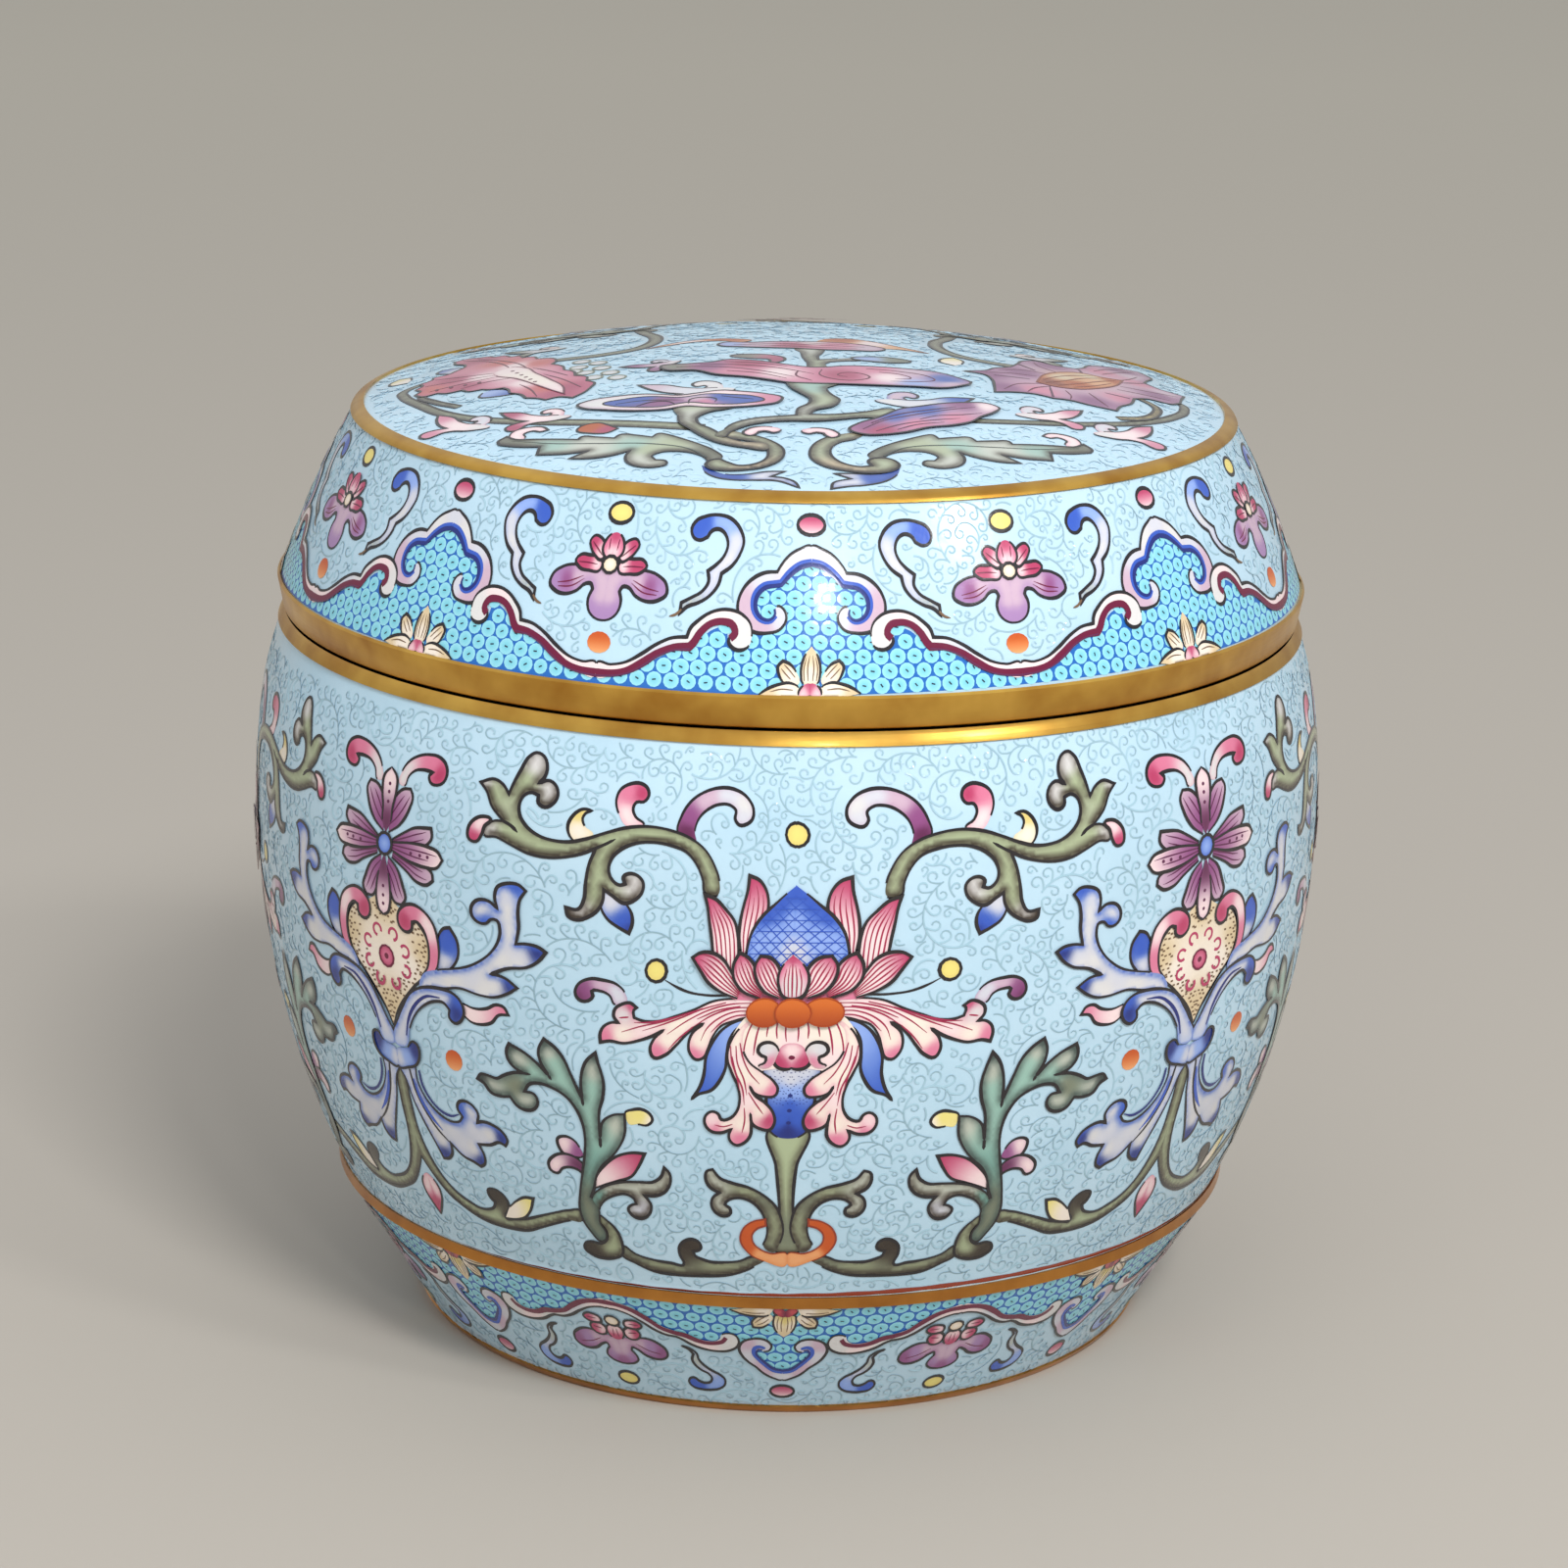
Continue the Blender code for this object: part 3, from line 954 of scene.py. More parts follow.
# %% The teal acanthus leaf with its buds
belly.petal("""26.9,35 25.5,35.6 23.4,36.4 21.35,37.3 20.2,38.9 19.35,40.65! 21,40.65 23.1,40 25.2,38.35
    26.5,36.6 26.9,35""", "blush", "rose")
belly.shape("28.1,39.4~ 28.4,40.6 29.2,41.6 30.3,41.9 31.4,41.4 31.4,40.4 30.8,39.4 29.2,39.1", "lilac",
    "28.3,39.9 purple;31,41 blush", "purple", 0.4, 0.4)
belly.shape("""27.9,36.6~ 28.2,38.3 29.4,39.2 31,39.4 32.3,38.9 33.3,37.6 33.1,36.8 32.1,36.5 31.3,37.3
    30.1,37.6 28.9,37.3""", "lilac", "28.4,37.6 plum;32.6,37.2 blush", "purple", 0.4, 0.4)
belly.shape("""26.8,30.4~ 26.6,31.9 25.8,33.2 24.3,34.2 22.2,34.6 21.3,34.1 21,33.4! 21.65,33.2 22.25,32.6
    21.8,31.7 20.5,31.3 19.3,32 18.85,33.35 19.7,34.7! 18.1,34.8 16.6,35.6 15.9,36.9 16,38.2 16.7,38.95!
    17.2,37.6 18.4,36.75 20.2,36.6 22.5,36.4 24.9,35.7 27.4,33.8~ 28.3,32~""", "slate",
    "16.6,37.6 ash;20,35.6 ash;24,35 ash;20.2,32.8 mist;26.4,33.4 teal", **GREENS)
belly.shape("21.2,44.7~ 20,44.8 18.7,44.8 18,45.6 18.3,46.4 19.3,46.95 20.5,46.8 21.6,46.2~ 21.5,45.4~",
    "straw", "19.4,45.9 yellow;18.4,45.5 cream")
belly.shape("""27,27.2 28.35,28.5 29.2,30 29.5,31.6 29.1,34.2 28.35,37.2 27.8,39.5 27.4,41.9 27.5,44.2
    28.1,46 29.2,47.5 31,48.5 32.8,48.85 34.2,48.5 35,47.4! 33.65,47.2 33.3,46.3 33.8,45.3 35,44.8
    36.3,45.1 37.3,46.3! 38.65,46.1 40.1,46.4 41,47.5 41.9,47.9! 41.3,48.65 40.1,48.65 38.9,48.5 37.8,49.1
    36,49.8 34.7,49.9! 36,50.4 36.9,51.4 37,52.8 36.65,53.6! 34.2,52.6 32.8,51.6 31.3,50.1! 32.3,51.9
    32.5,53.65 31.9,55.1! 30.4,54.2 29.1,52.8 28.35,51 27.8,49.5 27.1,47.6! 27,50.1 26.6,51.8 25.9,53.2
    25,54.2! 24.4,52.4 24,50.2 24.3,48.1 25,46 25.2,44.2 25.3,42.3! 24.6,44.8 23.1,45.85 21.6,46.1!
    21.9,43.1 22.8,41.3 24,39.8 25.5,38.35 26.5,36.6 26.9,34.8 27.4,33.6~ 26.6,31.9 26.7,30 26,28.6
    26.2,27.6""", "teal", """31.8,54.7 pine;31,53.2 ash;36.6,53.2 pine;35.4,52 ash;41.6,48.1 ink;
    39.8,47.2 ash;34.8,46.4 ash;25,53.9 pine;25.3,52 ash;22.6,44.8 ash;27.6,30 slate;28,33 slate;
    26,44 mint;29.5,50 mint;33.5,49.6 mint;25.8,48.6 mint;36,47.8 slate;30.4,52 mint""",
    "pine", 0.75, 1.15)
belly.strokes("""27.6,33.6 27,34.8 26.5,36.6 / 31.3,50.1 31,49.6 / 27.1,47.6 27.05,46.6 / 25.3,42.3
    25.35,41 / 34.9,49.9 33.8,49.9""", 0.4, "ink", (1, 0.2))

# %% The upper scroll with its hooks and buds
belly.shape("""14,80.7~ 14.15,82.3 13.6,83.8 12.2,85.1 10.8,85.65 9.15,85.55 8.5,85 8.65,84 8.1,83.3
    7.1,83.4 6.2,84.1 6.06,85.3 6.9,86.6 8.7,87.5 10.8,87.6 12.8,87.05 14.6,85.9 15.9,84 16.4,82.1~""",
    "lilac", "7.4,84.2 mist;7.2,85.6 white;9.5,86.6 mist;12.4,86.2 lilac;14.8,83.9 purple;15.2,82 plum",
    "purple", 0.35, 0.3)
belly.shape("""22.9,82.3~ 24,83.8 24.4,85.3 24,86.6 22.8,87.4 21.5,87.56 20.5,87 20.3,86.2 20.9,85.4
    21.8,85.3 22.2,84.6 21.8,83.5 20.7,82.7~""", "blush", "21.2,86.4 rose;22.8,86.4 pink;22.8,83.6 blush",
    "pink", 0.35, 0.4)
belly.shape("27,81.1~ 28.1,81.9 28.4,82.8 28.1,83.4 27.3,83.8! 28.35,83.9 29.6,83 30.15,81.5 29.4,80.1~",
    "yellow", "28.8,81.4 cream;28.9,83.3 straw", "tan", 0.3, 0.4)
belly.shape("25.9,74.3~ 26,72.65 25.2,71.2 24,70.4 22.5,69.7! 22.1,70.9 22.2,72 23.1,73.3~", "sky",
    "24.8,73.4 mist;23.2,71 blue;22.6,70 navy", "blue", 0.4, 0.5)
belly.shape("""11.06,74.85~ 10.9,76.5 11.5,78.2 12.8,80.15 14.9,81.5 17.2,82.2 20.2,82.5 23.1,82.1
    25.5,81.3 27.8,80.4 29.8,79.85 31.9,79.8 33.6,80.15 35.1,81 36.15,82.35 36.3,83.7 35.85,84.7 35,85.15
    34.1,84.9! 34,84 33.2,83.6 32.2,84.1 31.7,85.15 32,86.2 32.9,86.8 34.3,86.3! 33.6,87.2 33.5,88.5
    34.1,89.6 35.1,89.9 35.85,89.4 36.7,87.65 37.4,85.9 37.8,84.6! 38.65,85.6 39.8,86.1 41.6,85.5!
    40.7,84.6 39.8,82.9 38.1,81.3! 39.2,81.2 40.3,80.4~ 40.4,79.35 38.9,79.3 37.2,78.7 34.8,77.9 32.2,77.7
    29.8,78.1 28,78.7 26.6,79.4! 27.4,77.35 27.8,75 28,73.2 28.7,72 30.2,72.1! 29.9,71 28.9,70.7 27.5,71.2
    26.35,72.1 25.7,73.4 25.6,74.6! 24.6,74 23.1,73.2 21.8,73.7 20.9,74.7 20.8,75.9 21.5,76.6 22.5,76.75
    23.2,76.3 23,75.5! 23.6,75.3 24.6,75.9 25,77 24.6,78.4 23.4,79.6 21.6,80.4 19.6,80.65 17.2,80.4
    15.2,79.7 13.85,78.2 13.1,76.5 12.8,75""", "olive", """12,77 moss;16,81.2 moss;21,81.5 moss;
    26.2,77.4 moss;26.8,74.4 moss;33,79 moss;37,80 moss;34.8,88.8 white;36,86 moss;39.6,84.6 moss;
    32.4,85.8 white;21.6,75.6 white;25.4,80.4 moss;28.9,72.2 white;29.9,71.6 bark;40.4,79.9 white;
    41,85.3 white""", **GREENS)
belly.strokes("24.2,80.7 25.6,79.9 26.6,79.4 / 36.2,80.2 37.1,80.9 38.1,81.3", 0.4, "ink", (0.2, 1))
belly.shape("39.7,81.3 40.7,81.5 41.9,80.9 42.5,79.85 42.2,78.5 41.3,78.4 40.7,79.3 40.4,80.4", "pink",
    "40.6,80.9 blush;41.6,79 rose;41,80.4 blush", "rose", 0.3, 0.4)
belly.dot(0, 82.3, 1.5, 1.45, "yellow", "straw")

enamelled = [lay_belly("jar_stems")]

# %% The lotus stem, its small leaves and the ring
belly.shape("0,45.2~ 2.2,45.2 1.35,39.8 1.05,36.9 0.9,33.9 0.9,27~ -0.1,27~", "moss",
    "0,43 moss;0,30 slate;0.3,37 moss", "bark", 0.7, 0.9)
belly.shape("""0.8,32.5 1.35,33.9 2.8,35.4 4.9,36.6 7.5,37.3 9,37.9 10,39.1! 10.8,38.8 11,37.8 10.5,36.6
    9.15,35.75! 10,35.1 10.3,33.9 9.7,32.8 8.7,32.4 7.7,32.9 7.8,33.65 8.4,34.1 7.8,34.8 6.65,35.1
    4.9,34.7 3.6,33.5 3,32.2 2.7,30.7 3,29.2 3.4,28.35~ 1.9,27.3~ 1.05,28.65 0.5,30.4""", "slate",
    "5,35.9 olive;10.3,37.8 ash;9,33.8 ash;2.1,31 olive;3.4,34.8 slate", **GREENS)
belly.shape("""0,25.6~ 3.4,26 5.6,27.2 6.6,29 6,30.8 4.6,31.8 2.9,32.15! 2.9,31.2! 4.2,30.7 4.9,29.8
    4.8,28.7 3.8,27.7 2.4,27.15 0,27~ -0.1,26.4~""", "peach",
    "1,26.3 peach;4.4,31.4 orange;6,29.6 orange;4,26.9 peach;5.4,28 orange",
    "orange", 0.3, 0.35, 0.25, "rust")

# %% The blue leaf, the thread with its dots and the frond
belly.petal("""5.3,60 7.2,59.7 9,58.7 10.3,56.8 10.9,55 11.05,52.5 11.65,50.7 12.8,48.9! 11.9,49.7
    10.2,50.4 9,51.9 8.4,53.35 8.35,55.4 8.1,57.35 7.5,58.5 6.35,59.4""", "sky", "blue", start=0.15)
belly.strokes("8.8,62.85 11.6,62.8 14.3,63.1 16.35,63.8 17.6,64.4", 0.32, "ink")
belly.dot(18.8, 65.45, 1.35, 1.35, "yellow", "straw")
belly.shape("""22,61.2~ 22.5,62.5 23.7,63.4 25.5,63.75 27.2,63.7 28.4,62.9 28.65,61.8 28,60.9 26.9,60.9
    26.35,61.6 26.6,62.2 25.6,62.35 24.3,61.9 23.4,60.8~""", "lilac",
    "23.5,62.4 mist;25.4,63 lilac;27.6,61.8 purple;28,61.4 plum", "purple", 0.3, 0.4)
belly.shape("""5,62.6~ 7.8,62.5 10.8,62.1 13.1,61 15.5,60 17.5,59.2 19.6,59.1 20.7,59.4! 20.9,60.4
    20.6,60.7! 21.6,61.25 22.5,61 23.3,60.3 23.3,59.3 22.5,58.5! 23.4,58.5 24.4,57.8 24.7,56.8 24.5,55.7!
    23.4,56 21.6,55.9 19.6,56.5 18.1,57.2 16.6,58.2! 17.8,56.8 18.1,55.4 17.5,54.35 16.1,54.85 14.9,56.2
    13.7,57.8 12.8,58.7 11.65,59.3! 13,57.9 13.3,56.6 13,55.3 12.1,54.5 11.2,54.85 10.8,55.9 10.3,57.65
    9.3,59.1 7.8,59.7 6.1,60.15 5,60.1~""", "cream", """6,61.2 blush;12.5,55.2 pink;11.8,56.8 cream;
    17.2,55.2 pink;16,56.8 cream;24,56.4 pink;22,57 cream;22,59.8 white;21.2,60.8 rose;12,60.4 blush;
    15,59 cream;19,58.2 blush;8,61.8 blush""", "pink", 0.32, 0.4)
belly.strokes("""5.4,62 8.4,61.8 11.4,60.9 14,59.4 16.2,57.6 / 5.4,61.5 8,61.3 10.6,60.4 13,58.8 / 5.4,61
    7.6,60.9 9.6,60.1 11.2,58.6 11.8,57 / 5.4,60.5 7.4,60.4 9.2,59.6 10.6,58.2 / 9,62 12,61.1 14.6,59.9
    16.8,58.9 19.4,57.8 / 12,61.2 14.6,60.2 17,59.2 19.6,58.4 22,57.4 / 14,60.4 16.4,59.6 18.6,59
    20.6,58.8 / 13,58.8 14.6,57.2 15.8,55.6 / 21.4,59.4 22.6,59.2 / 7,61.6 10,61 12.6,59.8""", 0.2)

# %% The hanging petals, the cap and the blue cone
belly.shape("0,43.9~ 1.3,44.1 2.4,45 2.9,47 3.1,50 3.1,54.4~ -0.1,54.4~", "blue",
    "0,45 navy;1,46.4 blue;0,48.6 blue;0.5,50.4 sky;0,52.2 mist;1.5,53.8 mist", "navy", 0.5, 0.5)
for low_dot in (50.0, 47.9, 46.15):
    belly.dot(0, low_dot, 0.32, 0.26, "navy", line=None)
belly.stipple(drawn("-0.1,48.6 2.6,48.6 2.6,53.4 -0.1,53.4", True)[0], 0.55, 0.16, "navy")
belly.shape("-0.1,60.4~ 6.2,60.2~ 7.4,58.6~ 8,56.5~ 7.8,54.6~ 5,53.4~ 2.4,53.6~ -0.1,54.4~", "cream",
    "0,57 blush;3,58.5 cream;6,58 cream;4.6,55 blush", None, line=None)
belly.strokes("""0.7,60 0.8,58.2 0.7,57.2 / 1.8,60 2,58.6 1.9,57.6 / 2.9,60 3.2,58.6 3.3,57.8 / 4,60
    4.5,58.4 4.8,56.6 4.9,55.4 / 5,60 5.7,58.4 6.1,56.6 6.2,55 / 5.8,59.6 6.7,58 7.2,56.2 7.3,54.6""",
    0.22, "crimson", (1, 0.4))
belly.shape("""5.6,59.6~ 6.9,58.8 7.8,57.35 8.15,54.8 7.5,53 6.8,51.3 6.5,49.2 6.9,47.6 7.8,46.6 8.85,46.4
    9.3,47.2 10,47.5 10.9,46.9 11.05,45.7 10.3,44.7 9,44.5 7.5,45.1! 7.8,44.5 7.7,43.5 6.8,42.8 5.9,43.1
    5,44.2 4.9,45.7 5.1,47.6! 4.7,45.9 3.7,45.3 2.4,45.2 1.85,46.15 2.1,47.6 3.1,48.9 4.6,50.1 5.3,51.4!
    4.7,50.4 3.4,49.9 1.9,50.1 1.65,51 2.2,52 3.7,53.2 5.3,54.4 6.2,55.9~ 6.4,57.4~ 6.2,58.6~""", "cream",
    """2.4,50.8 pink;3.4,51.6 cream;2.6,46.6 rose;3.6,47.6 cream;6.2,43.8 pink;6,45.6 cream;10,46 blush;
    9.6,45.2 pink;8.4,45.7 cream;7,55 blush;6.4,52.6 cream;5.6,49.6 blush;6.8,57.6 cream""",
    "pink", 0.3, 0.45)
belly.strokes("""7.2,56.6 6.9,54.4 6,52.2 5.6,50 / 6.7,57 6.2,55 5.2,53 4,51.6 / 7.6,55.2 7,53 6.2,51
    5.9,48.6 / 5.4,50.4 4.4,48.8 3.4,47.4 / 5.9,48.2 5.8,46.4 6.1,44.6 / 7.4,45.8 8.6,45.4 9.8,45.6 /
    7.9,56.6 7.6,54.6 6.9,52.6 6.5,50.6""", 0.2)
belly.shape("-0.1,57~ 1.2,56.7~ 1.9,55.6 2.3,54.7 1.8,53.9 0.9,53.6 -0.1,53.8~", "pink",
    "0,56 blush;1.6,54.4 rose", "rose", 0.3, 0.5)
belly.shape("""1.9,55.3~ 1.65,56 2.2,56.9 3.2,57.15 4.15,56.7 4.3,55.9 3.8,55.4 3.3,55.2 3.4,54.5 4.2,54~
    3.2,53.7~ 2.3,54.3~""", "white", "2.6,54.6 pink;3,56.2 white;3.6,56 mist", "ash", 0.3, 0.5)
belly.dot(0, 55.15, 0.42, 0.3, "wine", line=None)

# %% The bud and the standing petals
belly.shape("-0.1,62.3~ 5.6,62.3~ 8.6,62.7~ 10.2,64.2~ 8,65.4~ -0.1,65.4~", "blush",
    "3,62.5 pink;8,63 pink", line=None)
for veins, path in [
    (4, """7.4,65.6 7.5,68.2 7.85,70 7.8,71.8 7.4,73.8 6.9,75.6 6.7,77.3! 5.3,76.8 4.3,75.6 3.9,74 4.4,71.6
     5.2,69.6 5.8,68.2 6.1,65.8"""),
    (5, """7.8,65.4 7.8,68.2 8,70 8.6,71.8 9.9,73.2 11.35,74.4 12.8,74.85! 12.4,73.5 12.1,71.8 11.65,69.7
     11.35,68.1 10.6,65.6"""),
]:
    belly.petal(path, "blush", "rose", veins, start=0.4)
bud = belly.shape("-0.1,76.3!~ 1.3,75.3 2.9,74 4.7,72.5 6,70.7 6.7,68 6.8,66~ -0.1,66~", "sky",
    "0,75.4 blue;2,74 blue;4,72.6 blue;0,72 sky;3,70 sky;5.8,69 sky;0,68 mist", "blue", 0.7, 0.7)
for lean, gap, width in ((-40, 1.05, 0.13), (40, 1.05, 0.13), (0, 1.35, 0.11)):
    belly.hatch(bud * 0.97 + np.array([0.05, 2.0]), math.radians(lean), gap, width, "blue")
for path in (
    "7.5,62.65 9.9,63.4 11.65,64.4 13,66 14.1,67.4! 13.1,68 11.65,68.1 9.9,67.35 8.7,65.9 7.2,63.6",
    "4.4,62.7 7.2,63.8 8.3,65.3 8.35,66.8 7.6,68.2! 6.6,67.8 5.5,66.8 5,65.2 4,63.6",
    "1.8,62.8 4,63.7 5,65 5.3,66.8 4.6,67.9! 3.1,67.65 1.9,66.5 1.6,65 1.2,63.6",
):
    belly.petal(path, "blush", "rose", 5, start=0.42)
belly.shape("-0.1,68.1!~ 1.2,67 1.94,65.6 1.85,64.2 1.3,63.1 0.6,62.8 -0.1,62.8~", "blush",
    "0,67.6 rose;1.5,66.4 pink;0,63.6 white;0,66 blush;0,65 white", "rose", 0.3, 0.6)
belly.strokes("0.5,63 0.55,65 0.35,66.8 / 1,63.2 1.1,65 0.8,66.4 / 0.02,63 0.02,66.9", 0.17)
for bead_at, bead_wide in ((3.75, 2.35), (0, 2.25)):
    belly.dot(bead_at, 61, bead_wide, 1.75, "amber", line="ember", width=0.2, below="ember")

enamelled.append(lay_belly("jar_lotuses"))

# %% The cream shield with its pink scroll
shield = belly.shape("""56.5,69.4~ 53,67.6~ 50.4,66.6 48.9,65 48.5,63.2 48.8,61.5 49.8,59.7 51.6,58.2
    53.35,56.5 55.4,54 56.5,52~""", "cream", "56.2,68 tan;49.4,63 tan;52.6,60.6 cream;56,55 tan",
    "tan", 0.5, 0.5)
belly.stipple(shield, 0.75, 0.42, "sepia", 3.4)
for center_u, center_v in ((52.9, 62.4), (54.9, 64.2), (52.9, 59.8), (54.9, 58.0)):
    toward = math.atan2(61.1 - center_v, 56.4 - center_u)
    turns = np.linspace(0.9, 2 * math.pi - 0.5, 14) + toward
    curl = np.column_stack([center_u + 0.75 * np.cos(turns), center_v + 0.75 * np.sin(turns)])
    belly.ink(curl, 0.4, "rose")
belly.dot(56.4, 61.1, 1.35, 1.35, "pink", "rose", width=0.3, line="wine")
belly.dot(56.4, 61.1, 0.4, 0.4, "wine", line=None)

# %% The cross flower over the spray
belly.shape("""54.8,83.5~ 54.5,85 53.5,86.3 51.9,87.2 50.1,87.6 48.35,87.5 47.2,86.8 46.8,85.7 47.2,84.7
    48.2,84.2 49.4,84.4 49.7,85.15 49.1,85.6! 50.7,85.7 52.2,85.4 53.2,84.6 53.8,83.3~""", "blush",
    "48,85.4 rose;49.4,86.6 pink;54,84.4 white", "pink", 0.35, 0.4)
for tip, path in [
    ("lilac", "55.9,77.2 53.9,78.5 52.5,80.6 52.1,82.35 52.6,83.1! 53.9,82.9 55.1,81.9 55.9,80"),
    ("lilac", "55,76.5 53,77.65 51.3,78.5 49.5,78.8 48.35,78.9! 48.1,77.8 48.9,76.8 50.4,76.2 54.8,75.8"),
    ("lilac", "55,74.2 52.2,72.9 50.4,71.9 48.65,71.8 47.6,72.5! 47.8,73.4 48.9,74 50.8,74.3 54.8,75.1"),
    ("lilac", "55.7,74.2 53.9,72.9 52.8,70.9 52.3,69.3 53,68.4! 54.2,68.5 55.2,70 55.9,72"),
    ("blush", "55,76.1 51.4,76.6 48.65,76.6 46.9,76.2 46.1,75.3! 46.9,74.3 48.9,74 51.4,74.2 55,75.1"),
]:
    belly.petal(path, "purple", tip, 2, "plum", start=0.1)
for dot_at in (48.6, 49.9, 51.5):
    belly.dot(dot_at, 75.3, 0.26, 0.24, "plum", line=None)
for path, dabs, dots in [
    ("56.5,77~ 55.6,78.6 55.5,80.3 55.1,82.35 55.2,84.1 56.5,85.2~",
     "56.2,78 plum;56.2,84.6 blush", (83.2, 82.2, 81)),
    ("56.5,74.5~ 55.5,72 55.1,70 55.1,68.2 55.6,66.9 56.5,66.5~",
     "56.2,73.4 plum;56.2,67 blush", (70.2, 69, 67.9)),
]:
    belly.shape(path, "lilac", dabs + ";56.2,76 purple", "purple", 0.35, 0.35)
    for dot_at in dots:
        belly.dot(56.4, dot_at, 0.26, 0.24, "plum", line=None)
belly.dot(56.4, 75.7, 1.4, 1.4, "sky", "blue")

# %% The blue and white spray
BLUES = {"edge": "blue", "reach": 0.58, "strength": 1.1, "lean": -0.52}
belly.shape("45,67.1! 43.9,65.6 43.8,63.8 44.8,62.1 46.6,61~ 47.2,63.5 46.9,65.6 46,66.8", "sky",
    "45,66 blue;45.6,64.6 blue;46,62.4 mist", "navy", 0.45, 0.5)
belly.shape("""48.9,60.4~ 47.5,61.2 46.9,62.9 46.9,65 47.6,67.1 49.1,68.4 51,68.9 52.6,68.4 53.7,67.1
    53.5,65.7 52.3,65.1 51.3,65.6 51.15,66.6! 50.4,66.8 49.4,66.2 48.65,64.7 48.5,62.9 48.9,61.2
    49.8,59.8~""", "blush", "52.4,66.6 rose;51.4,68 pink;48.4,66.6 blush;47.8,62.6 pink",
    "pink", 0.4, 0.45)
belly.shape("""49.9,60~ 47.2,61.3 44.8,61.9 42.5,62.65 40.7,63.8 39.2,65.3 38.35,66.8 38.1,68.2 38.5,69.3
    39.2,69.3 39.8,68.7 40.7,68.6 41.6,69.3 41.7,70.3 41,71.3 39.5,71.5 38.35,70.7! 38.7,72 38.35,73.4
    37.2,74 35.7,74 34.9,73.4! 35.6,72.3 35.85,70.9 35.8,68.8 36.15,66.8! 34.8,67 33.35,66.8 32.5,66.3!
    33.5,65 34.8,64.1 37.2,63.5 39.4,62.35! 38.9,62.4 37.5,62.2 35.85,61.2! 37.2,60.15 38.9,59.4 40.7,59.3
    43.6,59.6 46.3,59.1 48.6,58.9~ 50.4,58.4~""", "mist", """36.2,73.7 blue;37.4,72.4 mist;37,70.6 white;
    37,68 white;40,68.9 blue;40.6,70.4 white;33.4,66.2 navy;36,65.2 mist;38,64.4 white;36,64.4 white;
    36.6,61.5 navy;39,61 white;42,61.6 mist;40,60 white;45,60.4 white;48,60 mist;38.4,66.6 mist""",
    **BLUES)
belly.petal("""43.35,57.65 41.9,57.3 39.8,57.7 38.65,58.4 37.6,58.3 36.9,57.35! 38.2,57.1 39.2,55.9
    40.7,55.35 42.2,55.4 43.2,56""", "blush", "pink")
belly.shape("""46.3,58.9 48.35,58.8 50.7,58.2 52.5,57.1 53.9,55.3 55,53.6 56.5,50~ 54,50~ 53,52.5 51.3,55
    49.8,56.2 48.1,57 46.3,57.1 45.5,56.4! 45.6,55.4 44.8,54.8 43.65,55.3 43.1,56.6 43.6,57.9
    44.8,58.7""", "sky", """44.4,56.4 navy;44.2,57.4 blue;46.6,58 mist;50,57.4 mist;53.4,54.8 mist;
    47.2,57.8 mist;50.4,57 white;52.8,55.4 mist;54.8,52.6 mist""", **BLUES)
belly.strokes("47,57.7 49.4,57.4 51.4,56 53,53.8 53.8,51.4", 0.45, "navy", (0.3, 0.5))
belly.shape("""56.5,48~ 53,48~ 53,47.2 53.1,45.7 52.6,44.2 51.3,42.5 49.5,41.3 47.8,40.9 46.3,41.3
    45.7,42! 46.3,43.1 46,43.8 44.8,44.3 43.5,43.9 42.85,42.9 43.3,41.6! 42.5,41.9 40.7,41.7 39.5,41
    39,39.8 39.5,39.1! 40.1,39.4 41.9,38.8 43.9,38.5! 43.35,36.9 43.65,35.7 44.5,35.2! 45.4,35.6 47.2,36.1
    49.1,37.6! 49.4,36 50.4,35.1 51.4,34.9! 52.2,37 53.4,39.6 54.6,42.4 55.5,45.4 56.5,46.9~""", "sky",
    """39.8,40.2 navy;41.6,40.2 white;43,39.6 mist;44,43.2 white;45.8,42.8 blue;44,35.9 navy;
    45,37.6 white;46.8,38 mist;50.8,35.7 navy;50.8,37.6 white;48,39.4 mist;51,40 white;53,41.6 mist;
    54.6,43.4 white;44.4,40.6 mist;49,41.9 blue;52.6,45 mist;48.4,40.2 white""", **BLUES)
belly.strokes("46.2,42.2 47.8,41.7 49.6,42.1 51.2,43.4 52.2,45.2 52.4,47", 0.4, "navy", (0.3, 0.8))
belly.strokes("54.3,46.8 53.7,43.8 52.3,40.9 50.7,38.9 49.3,37.7", 0.34, "ink", (1, 0.5))
belly.strokes("53.8,45.6 53,43 51.6,40.8 50,39.2", 0.5, "blue", (0.4, 0.2))
belly.shape("56.5,48.9~ 53.9,49.8 52.8,50.8 51.9,50.5 51.7,49.1 52.5,47.8 54.2,47.1 56.5,46.9~", "sky",
    "52.4,49.6 navy;54.6,48.4 sky;56,48 mist", "blue", 0.35, 0.5)
belly.dot(45.6, 49.6, 1.45, 1.4, "orange", line=None, below="peach")
enamelled.append(lay_belly("jar_sprays"))
print("belly:", belly.coats.max(), "coats at most")

# %% [markdown]
# ## A diaper of discs
# Behind the borders lies a diaper: rows of pale discs on blue, each with a short dark dash. One disc
# is built by nodes, slightly domed as thick enamel is, and set on every point of a lattice, square to
# the wall. Hundreds of discs are what instances are for. They are made real at the end.


